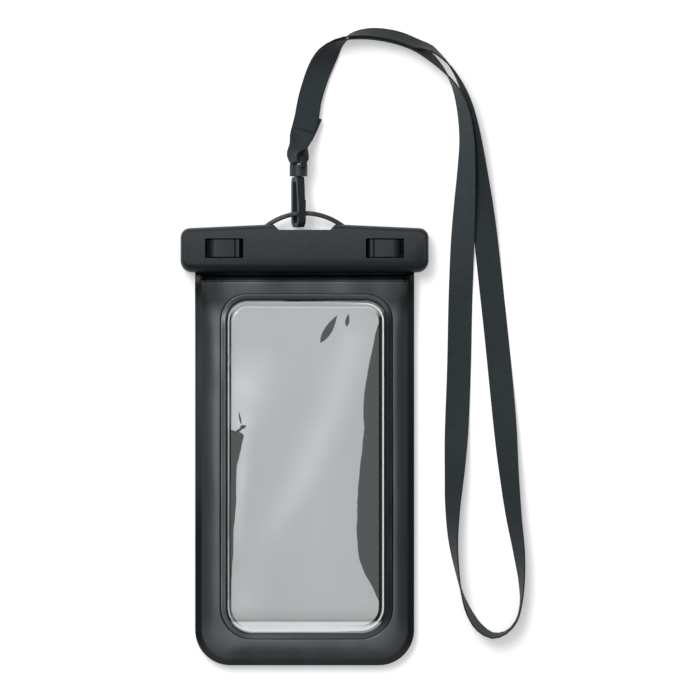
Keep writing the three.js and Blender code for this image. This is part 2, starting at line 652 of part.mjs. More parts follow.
function snapHook() {
  const half = HOOK_DEPTH / 2;
  const top = HOOK_LENGTH;
  const noseInnerTop = NOSE_HEIGHT - 1.6;
  const shape = new THREE.Shape();
  shape.moveTo(half, NOSE_HEIGHT - 0.4);
  shape.lineTo(half, HOOK_CHAMFER_LENGTH);
  shape.quadraticCurveTo(half - 0.5, HOOK_CHAMFER_LENGTH * 0.35, half - HOOK_CHAMFER_WIDTH, 0);
  shape.lineTo(-half + HOOK_CHAMFER_WIDTH, 0);
  shape.quadraticCurveTo(-half + 0.5, HOOK_CHAMFER_LENGTH * 0.35, -half, HOOK_CHAMFER_LENGTH);
  shape.lineTo(-half, top - 3.4);
  shape.quadraticCurveTo(-half, top - 0.6, -STEM_R - 1.8, top);
  shape.lineTo(STEM_R + 1.2, top);
  shape.quadraticCurveTo(half - 1.4, top - 5.5, half - 1.1, NOSE_HEIGHT - 1.2);
  shape.lineTo(half - NOSE_LIP - 0.3, noseInnerTop + TONGUE_SLIT);
  shape.lineTo(half - NOSE_LIP - 0.3 - TONGUE, noseInnerTop + TONGUE_SLIT);
  shape.quadraticCurveTo(half - 2.9, top - 6.5, STEM_R - 0.9, top - 2.2);
  shape.lineTo(-hookInner + 1.2, top - 2.2);
  shape.quadraticCurveTo(-hookInner, top - 2.4, -hookInner, top - 4);
  shape.lineTo(-hookInner, HOOK_FLOOR + 2);
  shape.quadraticCurveTo(-hookInner + 0.2, HOOK_FLOOR, -hookInner + 1.6, HOOK_FLOOR);
  shape.lineTo(hookInner - 1.6, HOOK_FLOOR);
  shape.quadraticCurveTo(hookInner - 0.2, HOOK_FLOOR, hookInner, HOOK_FLOOR + 2);
  shape.lineTo(hookInner, noseInnerTop);
  shape.lineTo(half - NOSE_LIP, noseInnerTop);
  shape.lineTo(half - NOSE_LIP, NOSE_HEIGHT - 0.2);
  shape.lineTo(half - 0.4, NOSE_HEIGHT);
  const plate = new THREE.ExtrudeGeometry(shape, {
    depth: HOOK_THICKNESS,
    bevelEnabled: false,
    curveSegments: 6,
  }).translate(0, 0, -HOOK_THICKNESS / 2);
  const stem = cylinderAlongY(STEM_R, top - 1, headSeatY + 0.5);
  const head = cylinderAlongY(STEM_HEAD_R, headSeatY + RUNNING_GAP, headSeatY + STEM_HEAD);
  return combine(plate, { add: [stem, head] });
}

function swivelEye() {
  const low = collarHighY - EYE_SKIRT;
  const high = collarHighY + EYE_SLOT_HEIGHT + EYE_TOP_BAR;
  const shape = new THREE.Shape();
  const half = EYE_HALF_WIDTH;
  const r = EYE_CORNER;
  shape.moveTo(-half + r, low);
  shape.lineTo(half - r, low);
  shape.absarc(half - r, low + r, r, -Math.PI / 2, 0, false);
  shape.absarc(half - r, high - r, r, 0, Math.PI / 2, false);
  shape.absarc(-half + r, high - r, r, Math.PI / 2, Math.PI, false);
  shape.absarc(-half + r, low + r, r, Math.PI, Math.PI * 1.5, false);
  const slotHalf = WEBBING_WIDTH / 2 + 0.4;
  const slot = new THREE.Path([
    new THREE.Vector2(-slotHalf, collarHighY),
    new THREE.Vector2(-slotHalf, collarHighY + EYE_SLOT_HEIGHT),
    new THREE.Vector2(slotHalf, collarHighY + EYE_SLOT_HEIGHT),
    new THREE.Vector2(slotHalf, collarHighY),
  ]);
  shape.holes.push(slot);
  const ring = new THREE.ExtrudeGeometry(shape, { depth: EYE_THICKNESS, bevelEnabled: false, curveSegments: 5 });
  ring.translate(0, 0, -EYE_THICKNESS / 2);
  const collar = cylinderAlongY(COLLAR_R, collarLowY, collarHighY);
  const bore = cylinderAlongY(boreR, collarLowY - 1, collarHighY + 0.01);
  const headRoom = cylinderAlongY(STEM_HEAD_R + GAP, headSeatY, collarHighY + 0.5);
  return combine(combine(ring, { add: [collar] }), { subtract: [bore, headRoom] });
}

// Lanyard route: [x, y, height of the middle above its resting level, lean in degrees].
// Lean turns the webbing about its own line: 0 is flat, 90 is on edge. The route is read from the cut end of
// the fold, round the eye, up the joined strands, down the inner strand, round the bend and up the outer one.
const FOLD_LEAD_IN = [
  [3.1, 155.4, 3.6, 0],
  [0.5, 149.4, 4.4, -6],
  [-1.3, 144.2, 3.5, -24],
  [-1.6, 139.6, 1.6, -52],
];
// Round the eye's top bar: [sideways from the bar, along the clasp from the eye's slot, lean]
const FOLD_ROUND_EYE = [
  [2.75, 4.8, -68],
  [2.7, 2.5, -70],
  [1.9, 1.45, -78],
  [0, 1.05, -90],
  [-1.9, 1.45, -102],
  [-2.8, 2.5, -110],
  [-3, 4.8, -113],
];
// Both strands run together here; the points are those of the upper one
const JOINED = [
  [-3.5, 139.8, 2.9, -134],
  [-2.1, 143.6, 5.6, -158],
  [-0.6, 148.2, 6.2, -174],
  [1.0, 154.6, 5, -180],
  [2.3, 162, 3.3, -180],
  [4.4, 169.5, 2.2, -182],
  [7.4, 177.4, 1.6, -193],
  [11.6, 184.4, 1.2, -220],
  [16.8, 189.5, 0.8, -256],
  [22.6, 192.3, 0.5, -279],
  [30.4, 193.6, 0.3, -292],
  [38.2, 193.1, 0.2, -297],
  [45.8, 191.4, 0.2, -298],
  [53.4, 188.3, 0.2, -296],
];
const INNER_STRAND = [
  [61, 182.7, 0.2, -289],
  [67.4, 175.9, 0.2, -276],
  [71.8, 169.6, 0.2, -262],
  [74.6, 163, 0.4, -250],
  [76.6, 155.2, 0.6, -241],
  [77.9, 144.5, 0.7, -234],
  [77.8, 130, 0.6, -224],
  [77, 114, 0.4, -210],
  [76, 95, 0.15, -192],
  [75, 68, 0.1, -180],
  [74.2, 32, 0.1, -180],
  [73.2, 6, 0.1, -188],
  [72.2, -15, 0.1, -214],
  [71.2, -34, 0.1, -234],
  [71.5, -50, 0.1, -250],
  [73.2, -63, 0.1, -263],
  [75.6, -74.5, 0.1, -273],
  [79.2, -84, 0.1, -284],
  [84, -91, 0.1, -287],
  [90.2, -94.8, 0.1, -281],
];
const OUTER_STRAND = [
  [96.6, -93.4, 0.1, -272],
  [101.6, -88, 0.1, -270],
  [103.9, -80, 0.1, -271],
  [104.3, -70, 0.1, -280],
  [103.2, -56, 0.1, -295],
  [100.6, -38, 0.1, -308],
  [98.2, -16, 0.1, -323],
  [96.2, 8, 0.1, -345],
  [93.2, 40, 0.1, -360],
  [89.8, 72, 0.1, -360],
  [87.4, 94, 0.1, -350],
  [85.6, 110, 0.1, -338],
  [83.8, 125, 0.1, -322],
  [82.2, 139, 0.1, -308],
  [80.4, 151.5, 0.1, -297],
  [77.8, 163.2, 0.1, -284],
  [73.6, 173, 0.6, -274],
  [68.2, 180.8, 2, -266],
  [61.6, 186.4, 3.6, -256],
];
const LOWER_END = [
  [1.2, 154.4, 2, -360],
  [-0.4, 147.6, 2.6, -364],
];
const LOWER_END_Y = 157; // the lower strand's own points take over below this level
const LOWER_END_X = 4;
const ROUTE_STEP = 13;
const LEAN_STEP = 13; // degrees of twist from one ring to the next, at most

// Right-hand and upward directions across a run with a given horizontal heading
function crossDirections(tangent) {
  const right = new THREE.Vector3(tangent.y, -tangent.x, 0).normalize();
  const up = new THREE.Vector3().crossVectors(right, tangent).normalize();
  return { right, up };
}

function restingHeight(lean) {
  const a = THREE.MathUtils.degToRad(lean);
  return (WEBBING_WIDTH / 2) * Math.abs(Math.sin(a)) + (WEBBING_THICKNESS / 2) * Math.abs(Math.cos(a));
}

const placed = ([x, y, lift, lean]) => ({ at: new THREE.Vector3(x, y, restingHeight(lean) + lift), lean });

function roundEye([sideways, along, lean]) {
  const at = new THREE.Vector3(
    CLASP_X + sideways * Math.cos(rollAngle),
    hookEndY + collarHighY + along,
    claspZ - sideways * Math.sin(rollAngle),
  );
  return { at, lean };
}

// The lower strand follows the upper one a pitch away along its face, with the same lean seen the other way
function lowerStrand(upper) {
  const strand = upper.map((knot, i) => {
    const before = upper[Math.max(i - 1, 0)].at;
    const after = upper[Math.min(i + 1, upper.length - 1)].at;
    const { right, up } = crossDirections(after.clone().sub(before).normalize());
    const a = THREE.MathUtils.degToRad(knot.lean);
    const at = knot.at.clone()
      .addScaledVector(up, STRAND_PITCH * Math.cos(a))
      .addScaledVector(right, -STRAND_PITCH * Math.sin(a));
    return { at, lean: -540 - knot.lean, lower: true };
  });
  return strand.reverse();
}

function lanyardKnots() {
  const joined = JOINED.map(placed);
  const below = lowerStrand(joined).filter(({ at }) => at.y > LOWER_END_Y || at.x > LOWER_END_X);
  return [
    ...FOLD_LEAD_IN.map(placed),
    ...FOLD_ROUND_EYE.map(roundEye),
    ...joined,
    ...INNER_STRAND.map(placed),
    ...OUTER_STRAND.map(placed),
    ...below,
    ...LOWER_END.map(placed),
  ];
}

// Smooth run through the knots: cubic pieces with slopes taken over the neighbouring chords
function sampleKnots(knots) {
  const values = knots.map(({ at, lean }) => [at.x, at.y, at.z, lean]);
  const chords = [];
  for (let i = 0; i + 1 < knots.length; i += 1) chords.push(knots[i].at.distanceTo(knots[i + 1].at));
  const slopes = values.map((value, i) => value.map((v, axis) => {
    if (i === 0) return (values[1][axis] - v) / chords[0];
    if (i === values.length - 1) return (v - values[i - 1][axis]) / chords[i - 1];
    const before = (v - values[i - 1][axis]) / chords[i - 1];
    const after = (values[i + 1][axis] - v) / chords[i];
    return (before * chords[i] + after * chords[i - 1]) / (chords[i] + chords[i - 1]);
  }));
  const samples = [];
  for (let i = 0; i < chords.length; i += 1) {
    const twist = Math.abs(values[i + 1][3] - values[i][3]);
    const parts = Math.max(1, Math.round(chords[i] / ROUTE_STEP), Math.ceil(twist / LEAN_STEP));
    for (let k = 0; k < parts + (i === chords.length - 1 ? 1 : 0); k += 1) {
      const t = k / parts;
      const h = chords[i];
      const [x, y, z, lean] = values[i].map((v, axis) => (
        v * (2 * t ** 3 - 3 * t ** 2 + 1)
        + values[i + 1][axis] * (3 * t ** 2 - 2 * t ** 3)
        + slopes[i][axis] * h * (t ** 3 - 2 * t ** 2 + t)
        + slopes[i + 1][axis] * h * (t ** 3 - t ** 2)
      ));
      samples.push({ at: new THREE.Vector3(x, y, Math.max(z, restingHeight(lean))), lean, lower: knots[i].lower });
    }
  }
  return samples;
}

// Flat webbing along the samples: a rectangle with eased edges at each one. Both wide faces are cut along
// the same diagonals, so that the webbing keeps its thickness where it twists, and so are both strands,
// so that the lower one stays clear of the upper one.
function webbing(samples) {
  const w = WEBBING_WIDTH / 2;
  const t = WEBBING_THICKNESS / 2;
  const ease = WEBBING_THICKNESS * 0.25;
  const section = [
    [w, -t + ease], [w, t - ease], [w - ease, t], [0, t], [-w + ease, t],
    [-w, t - ease], [-w, -t + ease], [-w + ease, -t], [0, -t], [w - ease, -t],
  ];
  const rings = samples.map(({ at, lean }, i) => {
    const before = samples[Math.max(i - 1, 0)].at;
    const after = samples[Math.min(i + 1, samples.length - 1)].at;
    const tangent = after.clone().sub(before).normalize();
    const { right, up } = crossDirections(tangent);
    const a = THREE.MathUtils.degToRad(lean);
    const across = right.clone().multiplyScalar(Math.cos(a)).addScaledVector(up, Math.sin(a));
    const face = new THREE.Vector3().crossVectors(tangent, across);
    return section.map(([u, v]) => at.clone().addScaledVector(across, u).addScaledVector(face, v).toArray());
  });
  const count = section.length;
  const triangles = [];
  for (let k = 0; k + 1 < rings.length; k += 1) {
    for (let i = 0; i < count; i += 1) {
      const j = (i + 1) % count;
      const [a, b, c, d] = [k * count + i, k * count + j, (k + 1) * count + j, (k + 1) * count + i];
      if (i < count / 2 !== Boolean(samples[k].lower)) triangles.push([a, b, c], [a, c, d]);
      else triangles.push([a, b, d], [b, c, d]);
    }
  }
  const last = (rings.length - 1) * count;
  for (let i = 1; i + 1 < count; i += 1) {
    triangles.push([0, i + 1, i]);
    triangles.push([last, last + i, last + i + 1]);
  }
  return closedGeometry(rings.flat(), triangles);
}

const lanyardSamples = sampleKnots(lanyardKnots());

// Row of stitches over the joint of the strands
const TACK_Y = 148.4;
const TACK_LENGTH = 9.6;
const TACK_WIDTH = 1.3;
const TACK_HEIGHT = 0.35;
const TACK_ABOVE_MIDDLE = 0.75; // the strap rises a little between the route's points here
const TACK_TURN = -16; // degrees
function barTack() {
  const under = JOINED[2];
  const z = restingHeight(under[3]) + under[2] + WEBBING_THICKNESS / 2 + TACK_ABOVE_MIDDLE;
  const tack = boxBetween([-TACK_LENGTH / 2, -TACK_WIDTH / 2, 0], [TACK_LENGTH / 2, TACK_WIDTH / 2, TACK_HEIGHT]);
  return tack.rotateZ(THREE.MathUtils.degToRad(TACK_TURN)).translate(under[0], TACK_Y, z);
}

// Materials and scene graph
const finish = (color, roughness, metalness = 0, extra = {}) => new THREE.MeshStandardMaterial({
  color, roughness, metalness, ...extra,
});
const clampPlastic = () => finish('#2f3234', 0.42);
const leverPlastic = () => finish('#2b2e30', 0.36);
const pinSteel = () => finish('#9a9c9e', 0.3, 1);
const sealRubber = () => finish('#1d1e1f', 0.7);
const borderVinyl = () => finish('#333638', 0.4);
const clearVinyl = () => finish('#c9cfcf', 0.08, 0, { transparent: true, opacity: 0.3 });
const claspPlastic = () => finish('#2a2c2e', 0.38);
const webbingFabric = () => finish('#2c2f31', 0.85);
const threadFabric = () => finish('#232527', 0.9);

function piece(name, geometry, material) {
  const mesh = new THREE.Mesh(geometry, material);
  mesh.name = name;
  return mesh;
}

const pouch = new THREE.Group();
pouch.add(
  piece('front_clamp_bar', frontClampBar(), clampPlastic()),
  piece('rear_clamp_bar', rearClampBar(), clampPlastic()),
  piece('front_seal_strip', sealStrip(1), sealRubber()),
  piece('rear_seal_strip', sealStrip(-1), sealRubber()),
  piece('left_lock_lever', mirrored(lockLever(), -1), leverPlastic()),
  piece('right_lock_lever', lockLever(), leverPlastic()),
  piece('left_lock_pin', mirrored(lockPin(), -1), pinSteel()),
  piece('right_lock_pin', lockPin(), pinSteel()),
  piece('front_frame_sheet', frontFrameSheet(), borderVinyl()),
  piece('rear_frame_sheet', rearFrameSheet(), borderVinyl()),
  piece('front_window_film', frontWindowFilm(), clearVinyl()),
  piece('rear_window_film', rearWindowFilm(), clearVinyl()),
);

const clasp = new THREE.Group();
clasp.add(
  piece('snap_hook', snapHook(), claspPlastic()),
  piece('swivel_eye', swivelEye(), claspPlastic()),
);
clasp.position.set(CLASP_X, hookEndY, claspZ);
clasp.rotation.y = rollAngle - Math.PI / 2;

const lanyard = new THREE.Group();
lanyard.add(
  piece('lanyard_strap', webbing(lanyardSamples), webbingFabric()),
  piece('bar_tack', barTack(), threadFabric()),
);

const assembly = new THREE.Group();
assembly.add(pouch, clasp, lanyard);

export default assembly;
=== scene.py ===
# Looks of the waterproof phone pouch: camera, lanyard, border sheets, clear films, stitching and finishes.
# Metres, +Z up. The pouch lies on its back, +Y points to the lanyard end.
import math

import bpy
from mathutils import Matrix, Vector, noise as relief


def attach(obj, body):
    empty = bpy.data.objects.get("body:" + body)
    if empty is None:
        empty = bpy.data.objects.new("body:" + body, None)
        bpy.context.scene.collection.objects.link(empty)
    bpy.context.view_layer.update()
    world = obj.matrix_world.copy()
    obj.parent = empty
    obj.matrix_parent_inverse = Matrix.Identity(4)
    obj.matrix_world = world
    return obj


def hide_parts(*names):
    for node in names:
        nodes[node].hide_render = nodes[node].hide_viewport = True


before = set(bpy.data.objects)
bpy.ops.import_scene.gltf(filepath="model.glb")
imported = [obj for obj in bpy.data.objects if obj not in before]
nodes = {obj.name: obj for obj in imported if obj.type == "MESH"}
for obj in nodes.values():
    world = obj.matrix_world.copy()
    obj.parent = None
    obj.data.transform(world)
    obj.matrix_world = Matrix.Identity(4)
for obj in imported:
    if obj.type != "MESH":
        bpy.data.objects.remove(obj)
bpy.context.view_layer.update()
bpy.ops.object.select_all(action="DESELECT")

# Camera: straight above, with a long lens, 336 mm of the table across the picture
VIEW_CENTRE = (0.0218, 0.0424)
VIEW_SPAN = 0.336
VIEW_LEVEL = 0.008  # level at which the span is measured
CAMERA_DISTANCE = 2.7
SENSOR = 36

camera_data = bpy.data.cameras.new("overhead_camera")
camera_data.sensor_width = SENSOR
camera_data.lens = SENSOR * CAMERA_DISTANCE / VIEW_SPAN
camera = bpy.data.objects.new("overhead_camera", camera_data)
camera.location = (*VIEW_CENTRE, VIEW_LEVEL + CAMERA_DISTANCE)
bpy.context.scene.collection.objects.link(camera)
bpy.context.scene.camera = camera
bpy.context.scene.view_settings.view_transform = "Standard"


# Helpers for meshes and materials
def srgb(red, green, blue):
    """A screen colour from 0 to 255 as the linear colour that a shader takes."""
    values = [c / 255 for c in (red, green, blue)]
    return [c / 12.92 if c <= 0.04045 else ((c + 0.055) / 1.055) ** 2.4 for c in values]


def band_faces(loops, count):
    """Four-sided faces between each closed loop of so many points and the next."""
    faces = []
    for k in range(loops - 1):
        for i in range(count):
            j = (i + 1) % count
            faces.append((k * count + i, k * count + j, (k + 1) * count + j, (k + 1) * count + i))
    return faces


def mesh_object(name, points, faces):
    mesh = bpy.data.meshes.new(name)
    mesh.from_pydata(points, [], faces)
    mesh.validate()
    mesh.polygons.foreach_set("use_smooth", [True] * len(mesh.polygons))
    piece = bpy.data.objects.new(name, mesh)
    bpy.context.scene.collection.objects.link(piece)
    return piece


COOL = (0.88, 0.96, 1.0)  # the blacks shine slightly blue


def finish(name, colour, roughness, specular=0.5):
    """A principled material, its node tree and its shader."""
    material = bpy.data.materials.new(name)
    material.use_nodes = True
    surface = material.node_tree.nodes["Principled BSDF"]
    surface.inputs["Base Color"].default_value = (*colour, 1)
    surface.inputs["Roughness"].default_value = roughness
    surface.inputs["Specular IOR Level"].default_value = specular
    surface.inputs["Specular Tint"].default_value = (*COOL, 1)
    return material, material.node_tree, surface


def add(tree, kind, inputs=None, **settings):
    """A node with its settings and inputs, which are values or other nodes' outputs."""
    node = tree.nodes.new(kind)
    for name, value in settings.items():
        setattr(node, name, value)
    for name, value in (inputs or {}).items():
        if hasattr(value, "is_output"):
            tree.links.new(value, node.inputs[name])
        else:
            node.inputs[name].default_value = value
    return node


def own_place(tree):
    """X, Y and Z in the piece's own coordinates, in metres."""
    place = add(tree, "ShaderNodeSeparateXYZ", {0: add(tree, "ShaderNodeTexCoord").outputs["Object"]})
    return place.outputs["X"], place.outputs["Y"], place.outputs["Z"]


def stored(tree, name):
    """A value that the mesh carries at its points."""
    return add(tree, "ShaderNodeAttribute", attribute_name=name).outputs["Fac"]


def noise(tree, scale, detail=3, roughness=0.5, stretch=(1, 1, 1)):
    """Noise in the piece's own coordinates."""
    where = add(tree, "ShaderNodeTexCoord").outputs["Object"]
    mapped = add(tree, "ShaderNodeMapping", {"Vector": where, "Scale": stretch})
    texture = add(tree, "ShaderNodeTexNoise", {
        "Vector": mapped.outputs["Vector"], "Scale": scale, "Detail": detail, "Roughness": roughness,
    })
    return texture.outputs["Fac"]


def bands(tree, where, scale, direction, distortion, detail=2.0, detail_scale=1.0):
    """Smooth parallel bands in the given coordinates, bent by a little noise."""
    return add(tree, "ShaderNodeTexWave", {
        "Vector": where, "Scale": scale,
        "Distortion": distortion, "Detail": detail, "Detail Scale": detail_scale,
    }, wave_type="BANDS", bands_direction=direction).outputs["Fac"]


def spread(tree, value, low, high, from_low=0.0, from_high=1.0):
    """A value mapped from one range to another, and held inside it."""
    return add(tree, "ShaderNodeMapRange", {
        "Value": value, "From Min": from_low, "From Max": from_high, "To Min": low, "To Max": high,
    }).outputs["Result"]


def combined(tree, operation, values):
    """The values put together by one operation, from left to right."""
    result = values[0]
    for value in values[1:]:
        result = add(tree, "ShaderNodeMath", {0: result, 1: value}, operation=operation).outputs["Value"]
    return result


def product(tree, *values):
    return combined(tree, "MULTIPLY", values)


def total(tree, *values):
    return combined(tree, "ADD", values)


def difference(tree, *values):
    return combined(tree, "SUBTRACT", values)


def largest(tree, *values):
    return combined(tree, "MAXIMUM", values)


def size_of(tree, value):
    """The value without its sign."""
    return combined(tree, "ABSOLUTE", (value, 0))


def ridge(tree, value, low, high, soft):
    """1 between low and high, fading over soft outside them."""
    rise = spread(tree, value, 0, 1, low - soft, low)
    fall = spread(tree, value, 1, 0, high, high + soft)
    return product(tree, rise, fall)


def shaded(tree, colour, factor):
    """A colour times a factor that varies over the surface."""
    scaled = add(tree, "ShaderNodeVectorMath", {0: colour, "Scale": factor}, operation="SCALE")
    return scaled.outputs["Vector"]


def bumps(tree, surface, layers):
    """Bump maps of (height, strength, distance in metres) on each other."""
    normal = None
    for height, strength, distance in layers:
        node = add(tree, "ShaderNodeBump", {"Height": height, "Strength": strength, "Distance": distance})
        if normal is not None:
            tree.links.new(normal, node.inputs["Normal"])
        normal = node.outputs["Normal"]
    tree.links.new(normal, surface.inputs["Normal"])


# Lanyard: one length of narrow webbing, the route's points in metres.
# Each point is x, y, height of the middle above its resting level, and lean in degrees:
# 0 is flat, 90 is on edge.
WEBBING_WIDTH = 0.0115
WEBBING_THICKNESS = 0.0008
STRAND_PITCH = 0.00135  # between the middles of two strands that lie on each other
CLASP_X = -0.0029
CLASP_Z = 0.0082
CLASP_ROLL = math.radians(20)
EYE_SLOT_Y = 0.1312

FOLD_LEAD_IN = [
    (0.0031, 0.1554, 0.0036, 0),
    (0.0005, 0.1494, 0.0044, -6),
    (-0.0013, 0.1442, 0.0035, -24),
    (-0.0016, 0.1396, 0.0016, -52),
]
# Round the eye's top bar: sideways from the bar, along the clasp from the slot, lean
FOLD_ROUND_EYE = [
    (0.00275, 0.0048, -68),
    (0.0027, 0.0025, -70),
    (0.0019, 0.00145, -78),
    (0.0, 0.00105, -90),
    (-0.0019, 0.00145, -102),
    (-0.0028, 0.0025, -110),
    (-0.003, 0.0048, -113),
]
JOINED = [
    (-0.0035, 0.1398, 0.0029, -134),
    (-0.0021, 0.1436, 0.0056, -158),
    (-0.0006, 0.1482, 0.0062, -174),
    (0.0010, 0.1546, 0.0050, -180),
    (0.0023, 0.1620, 0.0033, -180),
    (0.0044, 0.1695, 0.0022, -182),
    (0.0074, 0.1774, 0.0016, -193),
    (0.0116, 0.1844, 0.0012, -220),
    (0.0168, 0.1895, 0.0008, -256),
    (0.0226, 0.1923, 0.0005, -279),
    (0.0304, 0.1936, 0.0003, -292),
    (0.0382, 0.1931, 0.0002, -297),
    (0.0458, 0.1914, 0.0002, -298),
    (0.0534, 0.1883, 0.0002, -296),
]
INNER_STRAND = [
    (0.0610, 0.1827, 0.0002, -289),
    (0.0674, 0.1759, 0.0002, -276),
    (0.0718, 0.1696, 0.0002, -262),
    (0.0746, 0.1630, 0.0004, -250),
    (0.0766, 0.1552, 0.0006, -241),
    (0.0779, 0.1445, 0.0007, -234),
    (0.0778, 0.1300, 0.0006, -224),
    (0.0770, 0.1140, 0.0004, -210),
    (0.0760, 0.0950, 0.00015, -192),
    (0.0750, 0.0680, 0.0001, -180),
    (0.0742, 0.0320, 0.0001, -180),
    (0.0732, 0.0060, 0.0001, -188),
    (0.0722, -0.0150, 0.0001, -214),
    (0.0712, -0.0340, 0.0001, -234),
    (0.0715, -0.0500, 0.0001, -250),
    (0.0732, -0.0630, 0.0001, -263),
    (0.0756, -0.0745, 0.0001, -273),
    (0.0792, -0.0840, 0.0001, -284),
    (0.0840, -0.0910, 0.0001, -287),
    (0.0902, -0.0948, 0.0001, -281),
]
OUTER_STRAND = [
    (0.0966, -0.0934, 0.0001, -272),
    (0.1016, -0.0880, 0.0001, -270),
    (0.1039, -0.0800, 0.0001, -271),
    (0.1043, -0.0700, 0.0001, -280),
    (0.1032, -0.0560, 0.0001, -295),
    (0.1006, -0.0380, 0.0001, -308),
    (0.0982, -0.0160, 0.0001, -323),
    (0.0962, 0.0080, 0.0001, -345),
    (0.0932, 0.0400, 0.0001, -360),
    (0.0898, 0.0720, 0.0001, -360),
    (0.0874, 0.0940, 0.0001, -350),
    (0.0856, 0.1100, 0.0001, -338),
    (0.0838, 0.1250, 0.0001, -322),
    (0.0822, 0.1390, 0.0001, -308),
    (0.0804, 0.1515, 0.0001, -297),
    (0.0778, 0.1632, 0.0001, -284),
    (0.0736, 0.1730, 0.0006, -274),
    (0.0682, 0.1808, 0.0020, -266),
    (0.0616, 0.1864, 0.0036, -256),
]
LOWER_END = [
    (0.0012, 0.1544, 0.0020, -360),
    (-0.0004, 0.1476, 0.0026, -364),
]
LOWER_END_Y = 0.157  # below this height, and left of the next value, the sewn end has its own points
LOWER_END_X = 0.004
ROUTE_STEP = 0.0032


def cross_directions(tangent):
    """Right-hand and upward directions across a run."""
    right = Vector((tangent.y, -tangent.x, 0)).normalized()
    return right, right.cross(tangent).normalized()


def resting_height(lean):
    """Height of the webbing's middle when its lower edge lies on the table."""
    angle = math.radians(lean)
    return WEBBING_WIDTH / 2 * abs(math.sin(angle)) + WEBBING_THICKNESS / 2 * abs(math.cos(angle))


def placed(knot):
    x, y, lift, lean = knot
    return Vector((x, y, resting_height(lean) + lift)), lean


def round_eye(knot):
    """A point of the fold, turned with the clasp about its long axis."""
    sideways, along, lean = knot
    at = Vector((
        CLASP_X + sideways * math.cos(CLASP_ROLL),
        EYE_SLOT_Y + along,
        CLASP_Z - sideways * math.sin(CLASP_ROLL),
    ))
    return at, lean


def lower_strand(upper):
    """The lower strand, a pitch away along the upper one's face, read the other way."""
    strand = []
    for i, (at, lean) in enumerate(upper):
        before, after = upper[max(i - 1, 0)][0], upper[min(i + 1, len(upper) - 1)][0]
        right, up = cross_directions((after - before).normalized())
        angle = math.radians(lean)
        beside = at + up * STRAND_PITCH * math.cos(angle) - right * STRAND_PITCH * math.sin(angle)
        strand.append((beside, -540 - lean))
    return strand[::-1]


def lanyard_knots():
    joined = [placed(knot) for knot in JOINED]
    below = [knot for knot in lower_strand(joined) if knot[0].y > LOWER_END_Y or knot[0].x > LOWER_END_X]
    return [
        *map(placed, FOLD_LEAD_IN), *map(round_eye, FOLD_ROUND_EYE), *joined,
        *map(placed, INNER_STRAND), *map(placed, OUTER_STRAND), *below, *map(placed, LOWER_END),
    ]


def sample_knots(knots, step):
    """Smooth run through the knots, with slopes taken over the neighbouring chords."""
    values = [(*at, lean) for at, lean in knots]
    chords = [(b[0] - a[0]).length for a, b in zip(knots, knots[1:])]
    slopes = []
    for i, value in enumerate(values):
        slope = []
        for axis in range(4):
            before = (value[axis] - values[i - 1][axis]) / chords[i - 1] if i > 0 else None
            after = (values[i + 1][axis] - value[axis]) / chords[i] if i < len(chords) else None
            if before is None or after is None:
                slope.append(after if before is None else before)
            else:
                slope.append((before * chords[i] + after * chords[i - 1]) / (chords[i] + chords[i - 1]))
        slopes.append(slope)
    samples = []
    for i, h in enumerate(chords):
        parts = max(2, round(h / step))
        for k in range(parts + (i == len(chords) - 1)):
            t = k / parts
            x, y, z, lean = (
                values[i][axis] * (2 * t**3 - 3 * t**2 + 1)
                + values[i + 1][axis] * (3 * t**2 - 2 * t**3)
                + slopes[i][axis] * h * (t**3 - 2 * t**2 + t)
                + slopes[i + 1][axis] * h * (t**3 - t**2)
                for axis in range(4)
            )
            samples.append((Vector((x, y, max(z, resting_height(lean)))), lean))
    return samples


def webbing_section():
    """Across the webbing: full selvedges and a slightly hollow middle, counter-clockwise."""
    half, thick = WEBBING_WIDTH / 2, WEBBING_THICKNESS / 2
    across = [(-1, 0.0), (-0.985, 0.62), (-0.95, 0.92), (-0.89, 1.0), (-0.8, 0.86), (-0.4, 0.82), (0, 0.8)]
    upper = across + [(-u, v) for u, v in across[-2::-1]]
    upper = [(u * half, v * thick) for u, v in upper]
    return upper[::-1] + [(u, -v) for u, v in upper[1:-1]]


def webbing(name, samples):
    """The section carried along the route, with its place across and along as its UV map."""
    section = webbing_section()
    points, runs = [], []
    travelled = 0.0
    for i, (at, lean) in enumerate(samples):
        before, after = samples[max(i - 1, 0)][0], samples[min(i + 1, len(samples) - 1)][0]
        tangent = (after - before).normalized()
        right, up = cross_directions(tangent)
        angle = math.radians(lean)
        across = right * math.cos(angle) + up * math.sin(angle)
        face = tangent.cross(across)
        points += [at + across * u + face * v for u, v in section]
        if i:
            travelled += (at - samples[i - 1][0]).length
        runs.append(travelled)
    count = len(section)
    faces = band_faces(len(samples), count)
    sides = [u for u, _ in section]
    uvs = []
    for low, high in zip(runs, runs[1:]):
        for u, next_u in zip(sides, sides[1:] + sides[:1]):
            uvs.append([(u, low), (next_u, low), (next_u, high), (u, high)])
    last = (len(samples) - 1) * count
    faces.append(tuple(range(count))[::-1])
    uvs.append([(u, 0.0) for u in sides][::-1])
    faces.append(tuple(last + i for i in range(count)))
    uvs.append([(u, travelled) for u in sides])
    strap = mesh_object(name, points, faces)
    layer = strap.data.uv_layers.new(name="along_webbing")
    for polygon, corners in zip(strap.data.polygons, uvs):
        for loop, (u, v) in zip(polygon.loop_indices, corners):
            layer.data[loop].uv = (u / WEBBING_WIDTH + 0.5, v / WEBBING_WIDTH)
    return strap, travelled


# Where painted shade and painted light change the webbing's colour along its length, in its own widths: from,
# to, and the soft ends
ARC_RUN = (62.5, 67.5, 1.5)
INNER_RUN = (15.0, 18.5, 4.0)
# Factors on the webbing's colour: painted shade over the arc, painted light below it
ARC_PAINTED_SHADE = 0.6
INNER_PAINTED_LIGHT = 1.6
POLYESTER = srgb(44, 50, 53)


